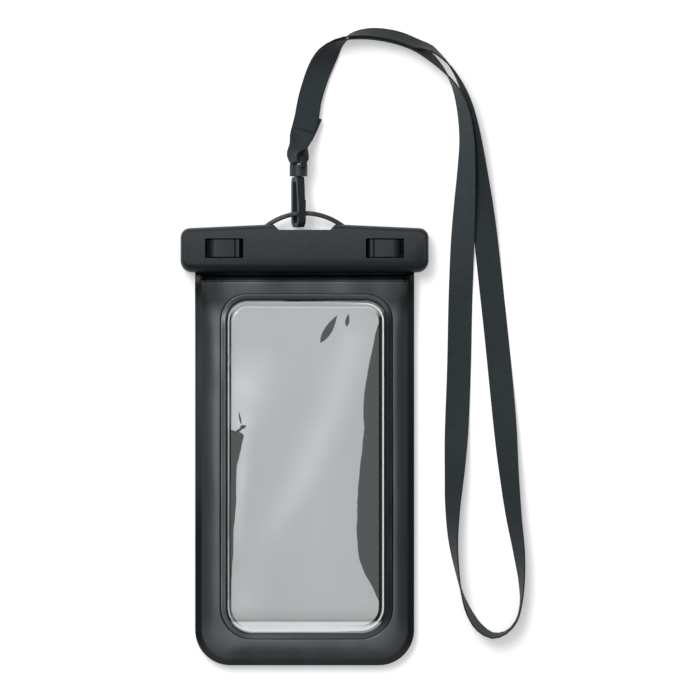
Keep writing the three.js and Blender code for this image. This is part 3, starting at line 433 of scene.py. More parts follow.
def webbing_finish():
    """Ribbed polyester: fine ribs across, soft sheen, painted shade over the arc and painted light on the
    strand below it.
    """
    material, tree, surface = finish("webbing_ribs", POLYESTER, 0.7, 0.14)
    where = add(tree, "ShaderNodeUVMap", uv_map="along_webbing").outputs["UV"]
    ribs = bands(tree, where, 3.6, "Y", 0.5, 1.0, 6.0)
    warp = bands(tree, where, 5.6, "X", 0.3, 1.0, 8.0)
    weave = product(tree, ribs, warp)
    mottle = noise(tree, 260, detail=4)
    shade = product(tree, spread(tree, weave, 0.86, 1.12), spread(tree, mottle, 0.94, 1.06, 0.3, 0.7))
    run = add(tree, "ShaderNodeSeparateXYZ", {"Vector": where}).outputs["Y"]
    # Painted shade over the arc and painted light on the strand below it
    painted_shade_over_arc = spread(tree, ridge(tree, run, *ARC_RUN), 1, ARC_PAINTED_SHADE)
    painted_light_below_arc = spread(tree, ridge(tree, run, *INNER_RUN), 1, INNER_PAINTED_LIGHT)
    shade = product(tree, shade, product(tree, painted_shade_over_arc, painted_light_below_arc))
    tree.links.new(shaded(tree, POLYESTER, shade), surface.inputs["Base Color"])
    tree.links.new(spread(tree, weave, 0.72, 0.54), surface.inputs["Roughness"])
    surface.inputs["Sheen Weight"].default_value = 0.06
    surface.inputs["Sheen Roughness"].default_value = 0.45
    bumps(tree, surface, [(ribs, 0.35, 0.00015), (warp, 0.2, 0.0001), (mottle, 0.08, 0.00012)])
    return material


lanyard_samples = sample_knots(lanyard_knots(), ROUTE_STEP)
lanyard, lanyard_length = webbing("neck_lanyard", lanyard_samples)
lanyard.data.materials.append(webbing_finish())
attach(lanyard, "pouch")
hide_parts("lanyard_strap")


# Stitches of the bar tack: a dense zigzag of thread across the webbing
THREAD = srgb(46, 52, 55)


def thread_finish():
    """Twisted thread, a little glossier than the webbing."""
    material, tree, surface = finish("black_thread", THREAD, 0.6, 0.4)
    where = add(tree, "ShaderNodeTexCoord").outputs["Object"]
    twist = bands(tree, where, 900.0, "DIAGONAL", 1.0)
    tree.links.new(shaded(tree, THREAD, spread(tree, twist, 0.8, 1.3)), surface.inputs["Base Color"])
    bumps(tree, surface, [(twist, 0.4, 0.00008)])
    return material


TACK_CENTRE = (-0.0006, 0.1484)
TACK_LENGTH = 0.0096
TACK_WIDTH = 0.0013
TACK_LEVEL = 0.00865
TACK_TURN = math.radians(-16)
TACK_STITCHES = 26
THREAD_R = 0.00016


def bar_tack(name):
    """One thread that runs from side to side of the tack, made a mesh."""
    curve = bpy.data.curves.new(name, "CURVE")
    curve.dimensions = "3D"
    curve.bevel_depth = THREAD_R
    curve.bevel_resolution = 2
    zigzag = curve.splines.new("POLY")
    zigzag.points.add(TACK_STITCHES)
    for i, point in enumerate(zigzag.points):
        along = TACK_LENGTH * (i / TACK_STITCHES - 0.5)
        aside = TACK_WIDTH / 2 * (1 if i % 2 else -1)
        x = TACK_CENTRE[0] + along * math.cos(TACK_TURN) - aside * math.sin(TACK_TURN)
        y = TACK_CENTRE[1] + along * math.sin(TACK_TURN) + aside * math.cos(TACK_TURN)
        point.co = (x, y, TACK_LEVEL - THREAD_R, 1)
    thread = bpy.data.objects.new(name, curve)
    bpy.context.scene.collection.objects.link(thread)
    bpy.context.view_layer.objects.active = thread
    thread.select_set(True)
    bpy.ops.object.convert(target="MESH")
    thread = bpy.context.view_layer.objects.active
    thread.select_set(False)
    return thread


stitches = bar_tack("bar_tack_stitches")
stitches.data.materials.append(thread_finish())
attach(stitches, "pouch")
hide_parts("bar_tack")

# Pouch sheets: the black border front and back, and the clear film behind each window
POUCH_HALF = 0.0526
POUCH_BOTTOM = -0.1091
CLAMP_BOTTOM = 0.0797
MOUTH_TOP = 0.0862
POUCH_CORNER = 0.017
MOUTH_CORNER = 0.0012
RING = {"left": -0.0405, "right": 0.0423, "bottom": -0.0965, "top": 0.0692}
RING_CORNER = 0.013
RING_LOW_CORNER = 0.0155  # the ring's lower corners are rounder
RING_WIDTH = 0.003
RIM_WIDTH = 0.0032  # sloping outer weld
RIM_RISE = 0.0011
SIDE_BORDER = 0.0115  # usual width of the border beside the ring
SHEET = 0.0005
FILM = 0.0004
FILM_INSET = 0.0004  # the film ends this far inside the ring's outer edge
FILM_BULGE = 0.0005
RIM_LEVEL = 0.0047  # middle of the outer weld
SEAM_LEVEL = 0.007  # middle of the clamp
BORDER_TOP = 0.0094
LOW_END_FALL = 0.0009  # the border is that much lower at the pouch's bottom
SEAM_GAP = 0.00015
RING_LINE_DEPTH = 0.00032  # line pressed along the ring's outer edge
RING_LINE_HALF = 0.00036
RING_EDGE_FALL = 0.0004  # at the ring's inner edge
CLAMP_DIP = 0.0009
# How far below the clamp each sheet and the weld start to close, and the last stretch that is held flat
FRONT_CLOSING = 0.0052
REAR_CLOSING = 0.027
WELD_CLOSING = 0.036
HELD_FLAT = 0.0005
RIB_TOP = CLAMP_BOTTOM - 0.0027  # upper edge of the pressed rib under the clamp
RIB_HEIGHT = 0.002
RIB_HALF = 0.0502
RIB_RISE = 0.00032
RIB_END = 0.0012  # its ends slope over this length


def smoothstep(value, low, high):
    t = min(max((value - low) / (high - low), 0), 1)
    return t * t * (3 - 2 * t)


def closed(y, closing):
    """0 in the open pouch, 1 where the clamp holds it shut."""
    return smoothstep(y, CLAMP_BOTTOM - closing, CLAMP_BOTTOM - HELD_FLAT)


def weld_level(y):
    """The outer weld rises from near the table to the middle of the clamp."""
    rise = closed(y, WELD_CLOSING)
    return RIM_LEVEL + (SEAM_LEVEL - RIM_LEVEL) * rise


def unevenness(x, y, size, amount):
    return relief.noise(Vector((x / size, y / size, 3.7))) * amount


def groove(distance, middle, half):
    """A rounded line pressed into the sheet, 1 in its middle."""
    t = abs(distance - middle) / half
    return math.cos(t * math.pi / 2) ** 2 if t < 1 else 0


def clamp_dip(y):
    """1 in the narrow dip right under the clamp."""
    start = smoothstep(y, CLAMP_BOTTOM - 0.0028, CLAMP_BOTTOM - 0.0016)
    return start - smoothstep(y, CLAMP_BOTTOM, CLAMP_BOTTOM + 0.002)


def ring_lift(y):
    """The ring rises towards the window at the sides and falls towards it at its ends."""
    middle_y = (RING["bottom"] + RING["top"]) / 2
    half = (RING["top"] - RING["bottom"]) / 2
    return 0.00068 - 0.00088 * smoothstep(abs(y - middle_y), half - 0.016, half - 0.004)


def fullness(depth, border, power):
    """How far a sheet has left the weld, 0 beside it and 1 at the ring."""
    t = min(max((depth - RIM_WIDTH) / (border - RIM_WIDTH), 0), 1)
    return 1 - (1 - t) ** power


def front_level(x, y, depth, border):
    """Upper surface of the front sheet, at a depth from the outline, where the border is so wide."""
    opened = 1 - closed(y, FRONT_CLOSING)
    rim = weld_level(y) + SEAM_GAP + SHEET + RIM_RISE * min(depth / RIM_WIDTH, 1) * opened
    full = fullness(depth, border, 2.0)
    top = BORDER_TOP - LOW_END_FALL * smoothstep(-y, 0.08, 0.1)
    level = rim + (top - rim) * full * opened - CLAMP_DIP * clamp_dip(y)
    past = depth - border
    at_end = smoothstep(max(y - RING["top"], RING["bottom"] - y), -0.01, -0.002)
    level -= RING_LINE_DEPTH * groove(past, 0, RING_LINE_HALF) * opened * (1 - 0.5 * at_end)
    level += ring_lift(y) * smoothstep(past, 0.0003, RING_WIDTH) * opened
    level -= RING_EDGE_FALL * smoothstep(past, RING_WIDTH - 0.0006, RING_WIDTH) * opened
    uneven = unevenness(x, y, 0.021, 0.0003) * full * (1 - smoothstep(past, 0, RING_WIDTH))
    return level + (uneven + unevenness(x, y, 0.05, 0.0004) * smoothstep(depth, 0.001, 0.004)) * opened


def rear_level(x, y, depth, border):
    """Upper surface of the rear sheet, whose lower face lies on the table in the middle."""
    rim = weld_level(y) - SEAM_GAP
    opened = 1 - closed(y, REAR_CLOSING)
    full = fullness(depth, border, 2.2)
    level = rim - (rim - SHEET) * full * opened
    return level + 0.0002 * groove(depth - border, 0, 0.0004) * opened


def rounded_loop(left, right, bottom, top, low_r, high_r, corner_steps=14, side_steps=84, end_steps=34):
    """Counter-clockwise points of a rounded rectangle, the same count for every size."""
    points = []

    def corner(x, y, r, start):
        for i in range(corner_steps + 1):
            angle = math.radians(start + 90 * i / corner_steps)
            points.append((x + r * math.cos(angle), y + r * math.sin(angle)))

    def side(x0, y0, x1, y1, steps):
        for i in range(1, steps):
            points.append((x0 + (x1 - x0) * i / steps, y0 + (y1 - y0) * i / steps))

    corner(right - low_r, bottom + low_r, low_r, -90)
    side(right, bottom + low_r, right, top - high_r, side_steps)
    corner(right - high_r, top - high_r, high_r, 0)
    side(right - high_r, top, left + high_r, top, end_steps)
    corner(left + high_r, top - high_r, high_r, 90)
    side(left, top - high_r, left, bottom + low_r, side_steps)
    corner(left + low_r, bottom + low_r, low_r, 180)
    side(left + low_r, bottom, right - low_r, bottom, end_steps)
    return points


def outline_loop(inset):
    """The pouch's outline, moved inwards."""
    return rounded_loop(
        -POUCH_HALF + inset, POUCH_HALF - inset, POUCH_BOTTOM + inset, MOUTH_TOP - inset,
        max(POUCH_CORNER - inset, 0.0004), max(MOUTH_CORNER - inset, 0.0004),
    )


def ring_loop(inset):
    """The outer edge of the window's ring, moved inwards."""
    return rounded_loop(
        RING["left"] + inset, RING["right"] - inset, RING["bottom"] + inset, RING["top"] - inset,
        RING_LOW_CORNER - inset, RING_CORNER - inset,
    )


def dullness_and_painted_light(x, y, depth, border):
    """How matt the vinyl is and the light and shade painted on it, from -1 (painted lighter, glossier) to 1
    (painted darker, matt): the outer weld, the puffed border, the ring and its lines.
    """
    to_right = smoothstep(x, -0.03, 0.03)
    low, high = smoothstep(-y, 0.084, 0.094), smoothstep(y, 0.057, 0.067)
    at_ends = max(low, high)
    # The outer weld carries painted shade: mostly darker on the right and at the top end, lighter along the
    # bottom end
    on_left = 0.3 + 0.6 * smoothstep(-y, 0.01, 0.05)
    on_right = 0.85 - 0.2 * smoothstep(y, 0.0, 0.05)
    rim = on_left + (on_right - on_left) * to_right
    rim += (0.25 - rim) * smoothstep(-y, 0.095, 0.104) + (0.95 - rim) * smoothstep(y, 0.062, 0.072)
    patches = relief.noise(Vector((x / 0.013, y / 0.024, 4.4)))
    # Painted shade on the top border, more towards its corners, and painted light on the bottom border; the
    # patches vary the tone at random
    body = -0.22 + 0.62 * high * (1 + 0.9 * smoothstep(abs(x), 0.034, 0.045)) - 0.32 * low
    body += patches * (0.12 + 0.28 * high + 0.2 * low)
    tone = rim + (body - rim) * smoothstep(depth, RIM_WIDTH - 0.0004, RIM_WIDTH + 0.0004)
    past = depth - border
    if past > 0:
        # Painted light on the ring's left side and painted shade on its right
        ring = -1 + 1.7 * to_right
        end = 0.1 + 0.5 * past / RING_WIDTH
        tone = ring + (end - ring) * at_ends
    # Painted shade in the line along the ring's outer edge and at its inner edge
    line = groove(past, 0, 0.00045) * (1 - 0.55 * at_ends)
    inner_edge = (0.6 + 0.3 * at_ends) * smoothstep(past, RING_WIDTH - 0.0005, RING_WIDTH)
    return max(tone, line if line > 0.05 else -1, inner_edge if inner_edge > 0 else -1)


# Where the sheet's loops run: over the outer weld, the share of the way to the ring, and over the ring
RIM_INSETS = (0, 0.0001, 0.0004, 0.0010, 0.0017, 0.0024, 0.0029, 0.0031, RIM_WIDTH)
BORDER_SHARES = [*(i / 22 for i in range(1, 22)), 0.968, 0.982, 0.992, 1]
RING_INSETS = (
    0.0001, 0.0002, 0.00036, 0.0006, 0.001, 0.0014, 0.0018, 0.0021, 0.0024, 0.0026, 0.0028, RING_WIDTH,
)


def border_sheet(name, level_at):
    """Loops from the outline to the ring's inner edge, lifted by level_at."""
    rim, ring = outline_loop(RIM_WIDTH), ring_loop(0)
    loops, dull_and_painted_light = [], []
    for inset in RIM_INSETS:
        loop = outline_loop(inset)
        loops.append([(x, y, level_at(x, y, inset, SIDE_BORDER)) for x, y in loop])
        dull_and_painted_light += [dullness_and_painted_light(x, y, inset, SIDE_BORDER) for x, y in loop]
    for share in BORDER_SHARES:
        loop = []
        for (x0, y0), (x1, y1) in zip(rim, ring):
            x, y = x0 + (x1 - x0) * share, y0 + (y1 - y0) * share
            border = math.dist((x0, y0), (x1, y1)) + RIM_WIDTH
            depth = RIM_WIDTH + (border - RIM_WIDTH) * share
            loop.append((x, y, level_at(x, y, depth, border)))
            dull_and_painted_light.append(dullness_and_painted_light(x, y, depth, border))
        loops.append(loop)
    for inset in RING_INSETS:
        loop = ring_loop(inset)
        loops.append([(x, y, level_at(x, y, SIDE_BORDER + inset, SIDE_BORDER)) for x, y in loop])
        dull_and_painted_light += [dullness_and_painted_light(x, y, SIDE_BORDER + inset, SIDE_BORDER) for x, y in loop]
    points = [point for loop in loops for point in loop]
    sheet = mesh_object(name, points, band_faces(len(loops), len(rim)))
    sheet.data.attributes.new("dull_and_painted_light", "FLOAT", "POINT").data.foreach_set("value", dull_and_painted_light)
    return sheet


def select_only(piece):
    bpy.ops.object.select_all(action="DESELECT")
    piece.select_set(True)
    bpy.context.view_layer.objects.active = piece


def thicken(piece, thickness):
    """Gives a sheet its thickness, downwards from its upper face, and keeps its cut edges crisp."""
    select_only(piece)
    modifier = piece.modifiers.new("thickness", "SOLIDIFY")
    modifier.thickness = thickness
    modifier.offset = -1
    bpy.ops.object.modifier_apply(modifier=modifier.name)
    bpy.ops.object.shade_smooth_by_angle(angle=math.radians(40))
    piece.select_set(False)


def pressed_rib(x, y):
    """Height of the long pressed rib under the clamp: a crisp upper edge and a long lower slope."""
    down = (RIB_TOP + 0.0004 - y) / RIB_HEIGHT
    along = (abs(x) - RIB_HALF + RIB_END) / RIB_END
    if down <= 0 or down >= 1.3 or along >= 1:
        return 0
    raised = RIB_RISE * smoothstep(down, 0, 0.18) * (1 - smoothstep(down, 0.3, 1.1))
    return (raised - 0.0002 * groove(down, 1.1, 0.2)) * (1 - smoothstep(along, 0, 1))


def front_border(x, y, depth, border):
    return front_level(x, y, depth, border) + pressed_rib(x, y)


front_sheet = border_sheet("front_border", front_border)
thicken(front_sheet, SHEET)
rear_sheet = border_sheet("rear_border", rear_level)
thicken(rear_sheet, SHEET)


# Clear films: a fine grid with rounded corners, ripples along the sides and a pressed line near the edge
FILM_CELL = 0.0011


def corner_middle(x, y):
    """Middle and radius of the ring's nearest rounded corner; along a straight side, the place itself."""
    radius = RING_CORNER if y > 0 else RING_LOW_CORNER
    cx = min(max(x, RING["left"] + radius), RING["right"] - radius)
    cy = min(max(y, RING["bottom"] + radius), RING["top"] - radius)
    return cx, cy, radius


def film_place(x, y):
    """Moves a grid point that lies past the rounded corner onto it."""
    cx, cy, radius = corner_middle(x, y)
    radius -= FILM_INSET
    far = math.dist((x, y), (cx, cy))
    if far <= radius:
        return x, y
    return cx + (x - cx) * radius / far, cy + (y - cy) * radius / far


def edge_distance(x, y):
    """How far a point of the film lies inside the ring's inner edge."""
    cx, cy, radius = corner_middle(x, y)
    across = min(x - RING["left"], RING["right"] - x) - RING_WIDTH
    along = min(y - RING["bottom"], RING["top"] - y) - RING_WIDTH
    if x != cx and y != cy:
        return radius - RING_WIDTH - math.dist((x, y), (cx, cy))
    return min(across, along)


def film_relief(x, y):
    """Ripples and creases near the ring, and a pressed line along it."""
    inside = edge_distance(x, y)
    if inside < -0.0004:
        return 0.0
    near = math.exp(-max(inside, 0) / 0.004)
    ripple = relief.noise(Vector((x / 0.012, y / 0.03, 1.3))) * 0.0005 * near
    crease = relief.noise(Vector((x / 0.005 + y / 0.02, y / 0.014, 7.1))) * 0.00016 * near
    broad = relief.noise(Vector(((x + 0.45 * y) / 0.05, (y - 0.45 * x) / 0.2, 5.2))) * 0.0001
    pressed = 0.00025 if x < 0 else 0.0001
    edge = 0.0003 * groove(inside, 0.0011, 0.0006) - pressed * groove(inside, 0.0021, 0.0005)
    fade = smoothstep(inside, -0.0004, 0.0010)
    return (ripple + crease + edge) * fade + broad * smoothstep(inside, 0, 0.012)


# Soft streaks of painted sheen on the front film: places along each, its half width and its strength there
PAINTED_SHEEN_RUNS = [
    [(0.025, 0.056, 0.009, 0), (0.0232, 0.045, 0.0085, 0.26), (0.016, 0.0235, 0.008, 0.34),
     (0.0085, 0.0045, 0.0076, 0.36), (0.0002, -0.0162, 0.0068, 0.36), (-0.008, -0.0322, 0.006, 0.26),
     (-0.023, -0.054, 0.005, 0)],
    [(-0.015, 0.045, 0.011, 0), (-0.029, 0.024, 0.011, 0.5), (-0.0335, 0.003, 0.008, 0.3)],
    [(-0.029, 0.008, 0.004, 0.2), (-0.0312, -0.016, 0.0036, 0.5), (-0.0325, -0.04, 0.0032, 0.4),
     (-0.033, -0.06, 0.003, 0)],
    [(-0.035, -0.062, 0.008, 0), (-0.03, -0.08, 0.009, 0.16)],
]


def run_light(x, y, run):
    """The strongest light that the stretches of a run give to a place, fading softly to both sides."""
    strongest = 0
    for (x0, y0, w0, s0), (x1, y1, w1, s1) in zip(run, run[1:]):
        dx, dy = x1 - x0, y1 - y0
        t = min(max(((x - x0) * dx + (y - y0) * dy) / (dx * dx + dy * dy), 0), 1)
        away = math.dist((x, y), (x0 + dx * t, y0 + dy * t)) / (w0 + (w1 - w0) * t)
        strongest = max(strongest, (s0 + (s1 - s0) * t) * math.exp(-away * away))
    return strongest


def streak_light(x, y):
    waver = relief.noise(Vector((x / 0.02, y / 0.02, 9.4))) * 0.0012
    return sum(run_light(x + waver, y - waver, run) for run in PAINTED_SHEEN_RUNS)


FILM_WIDTH = RING["right"] - RING["left"] - 2 * FILM_INSET
FILM_LENGTH = RING["top"] - RING["bottom"] - 2 * FILM_INSET


def window_film(name, level_at, relief_share):
    """A grid fitted into the ring, which carries its distance from the ring and its painted sheen."""
    columns, rows = round(FILM_WIDTH / FILM_CELL), round(FILM_LENGTH / FILM_CELL)
    points = []
    for j in range(rows + 1):
        for i in range(columns + 1):
            x = RING["left"] + FILM_INSET + FILM_WIDTH * i / columns
            y = RING["bottom"] + FILM_INSET + FILM_LENGTH * j / rows
            x, y = film_place(x, y)
            points.append((x, y, level_at(x, y) + film_relief(x, y) * relief_share))
    faces = []
    for j in range(rows):
        for i in range(columns):
            a = j * (columns + 1) + i
            faces.append((a, a + 1, a + columns + 2, a + columns + 1))
    film = mesh_object(name, points, faces)
    for attribute, value_at in (("from_edge", edge_distance), ("painted_sheen", streak_light)):
        layer = film.data.attributes.new(attribute, "FLOAT", "POINT")
        layer.data.foreach_set("value", [value_at(x, y) for x, y, _ in points])
    thicken(film, FILM)
    return film


def front_film_level(x, y):
    """Right under the ring at its edge, and a little bulged in the middle."""
    inside = edge_distance(x, y)
    border = front_level(x, y, SIDE_BORDER + RING_WIDTH + min(inside, 0), SIDE_BORDER) - SHEET - SEAM_GAP
    return border + FILM_BULGE * math.sin(smoothstep(inside, 0, 0.03) * math.pi / 2)


REAR_WINDOW_DEPTH = 0.02  # well inside the ring, where the rear sheet lies flat


def rear_film_level(x, y):
    return rear_level(x, y, REAR_WINDOW_DEPTH, SIDE_BORDER) + SEAM_GAP + FILM


front_film = window_film("front_film", front_film_level, 1)
rear_film = window_film("rear_film", rear_film_level, 0.35)


# Finishes of the borders and the films
VINYL = srgb(27, 30, 32)
RIB_UNLIT = 0.12  # share of the light that is left on the dark strip under the clamp


def rib_light(tree):
    """Less light on the strip between the pressed rib's edges, and above it up to the clamp."""
    x, y, _ = own_place(tree)
    aside = size_of(tree, x)
    within = spread(tree, aside, 1, 0, RIB_HALF - 0.0003, RIB_HALF)
    strip = spread(tree, y, 0, 1, RIB_TOP - RIB_HEIGHT, RIB_TOP - RIB_HEIGHT + 0.0003)
    edge = ridge(tree, y, RIB_TOP + 0.0001, RIB_TOP + 0.0004, 0.0002)
    low_edge = ridge(tree, y, RIB_TOP - 0.0014, RIB_TOP - 0.0012, 0.0002)
    low_edge = product(tree, low_edge, spread(tree, aside, 0.3, 0.9, 0.01, RIB_HALF))
    edge = total(tree, product(tree, edge, 0.7), low_edge)
    strip = product(tree, difference(tree, strip, edge), within)
    strip = largest(tree, strip, spread(tree, y, 0, 1, RIB_TOP + 0.0009, RIB_TOP + 0.0015))
    return spread(tree, strip, 1, RIB_UNLIT)


def vinyl_finish():
    """Soft black vinyl: satin, with faint pulling marks, a fine pebble, the light and shade painted on the
    sheets, and a painted shadow under the clamp.
    """
    material, tree, surface = finish("soft_black_vinyl", VINYL, 0.36, 0.75)
    dull_and_painted_light = stored(tree, "dull_and_painted_light")
    cloud = noise(tree, 38, detail=3)
    pulled = noise(tree, 42, detail=3, stretch=(2.4, 0.35, 1))
    pebble = noise(tree, 2600, detail=2)
    unlit = rib_light(tree)
    # The stored values brighten or darken the colour with painted light and shade; the strip under the clamp
    # gets painted shadow
    light = product(tree, spread(tree, cloud, 0.86, 1.16, 0.3, 0.7), spread(tree, dull_and_painted_light, 1.65, 0.35, -1, 1))
    light = product(tree, light, unlit)
    tree.links.new(shaded(tree, VINYL, light), surface.inputs["Base Color"])
    shine = product(tree, spread(tree, dull_and_painted_light, 1.44, 0.12, -1, 1), unlit)
    tree.links.new(shine, surface.inputs["Specular IOR Level"])
    gloss = total(tree, spread(tree, pulled, 0.32, 0.44, 0.3, 0.7), spread(tree, pebble, -0.03, 0.03))
    tree.links.new(gloss, surface.inputs["Roughness"])
    bumps(tree, surface, [(pulled, 0.2, 0.0004), (pebble, 0.1, 0.00005)])
    return material


# Where dark reflections are painted on the front film: y in metres and the x that the dark part reaches
RIGHT_DARK_REFLECTION = [
    (-0.0775, 0.0352), (-0.0745, 0.0338), (-0.07, 0.0318), (-0.064, 0.0288), (-0.058, 0.0266),
    (-0.05, 0.0256), (-0.03, 0.0254), (-0.015, 0.0266), (0, 0.028), (0.02, 0.0288),
    (0.034, 0.0306), (0.046, 0.033), (0.054, 0.035), (0.057, 0.0362),
]
LEFT_DARK_REFLECTION = [
    (-0.079, -0.0372), (-0.076, -0.0358), (-0.066, -0.0347), (-0.057, -0.0343), (-0.04, -0.0337),
    (-0.025, -0.0328), (-0.0112, -0.0319), (-0.004, -0.0303), (-0.0005, -0.0295), (0.0018, -0.0294),
    (0.0034, -0.033), (0.0046, -0.0372),
]
# Lines along the front film's edge, black ones of painted shade and bright ones of painted highlight:
# distance from the ring from, to, and the soft sides
RIGHT_BLACK_LINE = (0.0024, 0.0036, 0.0002)
LEFT_BLACK_LINE = (0.0015, 0.0021, 0.0002)
RIGHT_HIGHLIGHT_LINE = (0.0014, 0.0018, 0.0002)
LEFT_HIGHLIGHT_LINE = (0.0007, 0.0013, 0.0002)
TOP_HIGHLIGHT_LINE = (0.0031, 0.0033, 0.0003)
# Heights on the front film: of the lines along its sides, and of the line and the painted light strip at its
# bottom
SIDE_LINES_Y = (-0.087, 0.058, 0.004)
LOW_LINE_Y = (-0.0874, -0.0870, 0.0003)
LOW_STRIP_Y = (-0.0884, -0.0880)
# Small spots of painted dark reflection: middle, half length, half width and turn in degrees
DARK_REFLECTION_SPOTS = [
    ((0.0116, 0.0523), 0.008, 0.0021, 59),
    ((0.0206, 0.0565), 0.0032, 0.0011, 82),
    ((-0.031, 0.0097), 0.0034, 0.0005, 101),
    ((-0.0295, 0.0052), 0.0017, 0.0011, 20),
    ((-0.0319, 0.0032), 0.0038, 0.0008, 36),
    ((-0.037, 0.039), 0.0028, 0.0008, 84),
    ((-0.0367, 0.0335), 0.0019, 0.0006, 98),
    ((-0.0371, 0.0252), 0.0032, 0.0006, 91),
    ((0.004, 0.0659), 0.015, 0.0005, 0),
]
DARK_REFLECTION_REACH = (-0.1, 0.08)  # the span of y, and the one of x, that the two curves are drawn in


def dark_reflection_edge(tree, y, places):
    """x of the dark part's border at a height y."""
    low, high = DARK_REFLECTION_REACH
    node = add(tree, "ShaderNodeFloatCurve", {"Value": spread(tree, y, 0, 1, low, high)})
    curve = node.mapping.curves[0]
    spots = [((at_y - low) / (high - low), (at_x - low) / (high - low)) for at_y, at_x in places]
    curve.points[0].location = spots[0]
    curve.points[1].location = spots[-1]
    for spot in spots[1:-1]:
        curve.points.new(*spot)
    node.mapping.update()
    return spread(tree, node.outputs["Value"], low, high)


def mix_colours(tree, share, a, b):
    """Colour a, with a share of the plain colour b."""
    node = add(tree, "ShaderNodeMix", data_type="RGBA")
    tree.links.new(share, node.inputs["Factor"])
    tree.links.new(a, node.inputs[6])
    node.inputs[7].default_value = (*b, 1)
    return node.outputs[2]


def leaf(tree, x, y, middle, along, across, turn):
    """1 inside a leaf-shaped spot that is a little fuller towards its lower end."""
    cos, sin = math.cos(turn), math.sin(turn)
    dx, dy = difference(tree, x, middle[0]), difference(tree, y, middle[1])
    u = total(tree, product(tree, dx, cos / along), product(tree, dy, sin / along))
    v = difference(tree, product(tree, dy, cos / across), product(tree, dx, sin / across))
    thinner = spread(tree, u, 0.78, 1.4, -1, 1)
    reach = total(tree, product(tree, u, u), product(tree, size_of(tree, v), thinner))
    return spread(tree, reach, 1, 0, 0.92, 1.04)


def painted_dark_reflections(tree, x, y, wander):
    """1 where dark reflections are painted: along both sides and in the small spots."""
    moved = total(tree, x, wander)
    past_right = difference(tree, moved, dark_reflection_edge(tree, y, RIGHT_DARK_REFLECTION))
    past_left = difference(tree, dark_reflection_edge(tree, y, LEFT_DARK_REFLECTION), moved)
    dark = largest(tree, spread(tree, past_right, 0, 1, 0, 0.0003), spread(tree, past_left, 0, 1, 0, 0.0003))
    for middle, along, across, turn in DARK_REFLECTION_SPOTS:
        spot = leaf(tree, x, total(tree, y, wander), middle, along, across, math.radians(turn))
        dark = largest(tree, dark, spot)
    return dark


def edge_lines(tree, inside, on_right, sides):
    """The black lines of painted shade and the bright lines of painted highlight beside the ring: whole on
    the right, broken on the left.
    """
    on_left = difference(tree, 1, on_right)
    uneven = noise(tree, 160, detail=2, stretch=(1, 0.25, 1))
    broken = spread(tree, uneven, 0.55, 1, 0.4, 0.52)
    right_line = product(tree, ridge(tree, inside, *RIGHT_BLACK_LINE), on_right)
    left_line = product(tree, ridge(tree, inside, *LEFT_BLACK_LINE), on_left)
    line = product(tree, total(tree, right_line, left_line), sides, spread(tree, on_right, broken, 1))
    # Painted shade right at the ring's edge
    near_ring = spread(tree, on_right, 0.0005, 0.0010)
    seam = spread(tree, difference(tree, inside, near_ring), 1, 0, 0, 0.0003)
    black = largest(tree, line, product(tree, seam, largest(tree, sides, 0.6)))
    right_glint = product(tree, ridge(tree, inside, *RIGHT_HIGHLIGHT_LINE), on_right)
    left_glint = product(tree, ridge(tree, inside, *LEFT_HIGHLIGHT_LINE), on_left)
    glint = total(tree, right_glint, product(tree, left_glint, product(tree, broken, 0.4)))
    return black, glint


def top_marks(tree, y, inside, wander):
    """The painted highlight line and the darker band along the window's top."""
    at_top = spread(tree, y, 0, 1, 0.052, 0.059)
    line = product(tree, ridge(tree, total(tree, inside, wander), *TOP_HIGHLIGHT_LINE), at_top)
    band = product(tree, spread(tree, inside, 1, 0, 0.0026, 0.0031), at_top)
    return line, band


def low_marks(tree, y, wander):
    """The thin grey line and the strip of painted light along the window's bottom."""
    moved = total(tree, y, product(tree, wander, 0.5))
    line = ridge(tree, moved, *LOW_LINE_Y)
    strip = spread(tree, moved, 1, 0, *LOW_STRIP_Y)
    return line, strip


def film_marks(tree, colour, alpha):
    """The front film's painted marks: sheen, dark reflections, shade and highlight lines, the ring's shadow
    beside it and the grey bands: its colour, its cover and its black lines.
    """
    x, y, _ = own_place(tree)
    inside, painted_sheen = stored(tree, "from_edge"), stored(tree, "painted_sheen")
    wander = spread(tree, noise(tree, 60, detail=2, stretch=(0.3, 1, 1)), -0.0005, 0.0005, 0.3, 0.7)
    on_right = spread(tree, x, 0, 1, 0.014, 0.030)
    sides = ridge(tree, y, *SIDE_LINES_Y)
    dark = painted_dark_reflections(tree, x, y, wander)
    black, glint = edge_lines(tree, inside, on_right, sides)
    # Painted shadow of the ring on the film along its sides
    beside = product(tree, spread(tree, inside, 1, 0, 0.0023, 0.0027), sides)
    top_highlight, top_band = top_marks(tree, y, inside, wander)
    low_line, painted_light_strip = low_marks(tree, y, wander)
    # The painted sheen lightens the colour
    colour = shaded(tree, colour, spread(tree, painted_sheen, 1, 1.6))
    # In turn: painted shadow, darker band, painted highlight, painted dark reflection, grey line, painted
    # light strip, painted highlight and painted shade
    for share, paint in (
        (product(tree, beside, spread(tree, on_right, 0.6, 0.9)), srgb(96, 102, 104)),
        (product(tree, top_band, 0.25), srgb(120, 124, 125)),
        (product(tree, top_highlight, 0.45), srgb(246, 247, 247)),
        (dark, srgb(59, 64, 65)),
        (product(tree, low_line, 0.5), srgb(120, 124, 125)),
        (painted_light_strip, srgb(238, 241, 241)),
        (glint, srgb(240, 242, 242)),
        (black, srgb(16, 18, 19)),
    ):
        colour = mix_colours(tree, share, colour, paint)
    cover = largest(
        tree,
        product(tree, dark, 0.86),
        product(tree, black, 0.97),
        product(tree, beside, 0.7),
        product(tree, largest(tree, painted_light_strip, glint), 0.8),
        product(tree, largest(tree, low_line, top_highlight), 0.6),
    )
    return colour, largest(tree, total(tree, alpha, product(tree, painted_sheen, 0.06)), cover), black


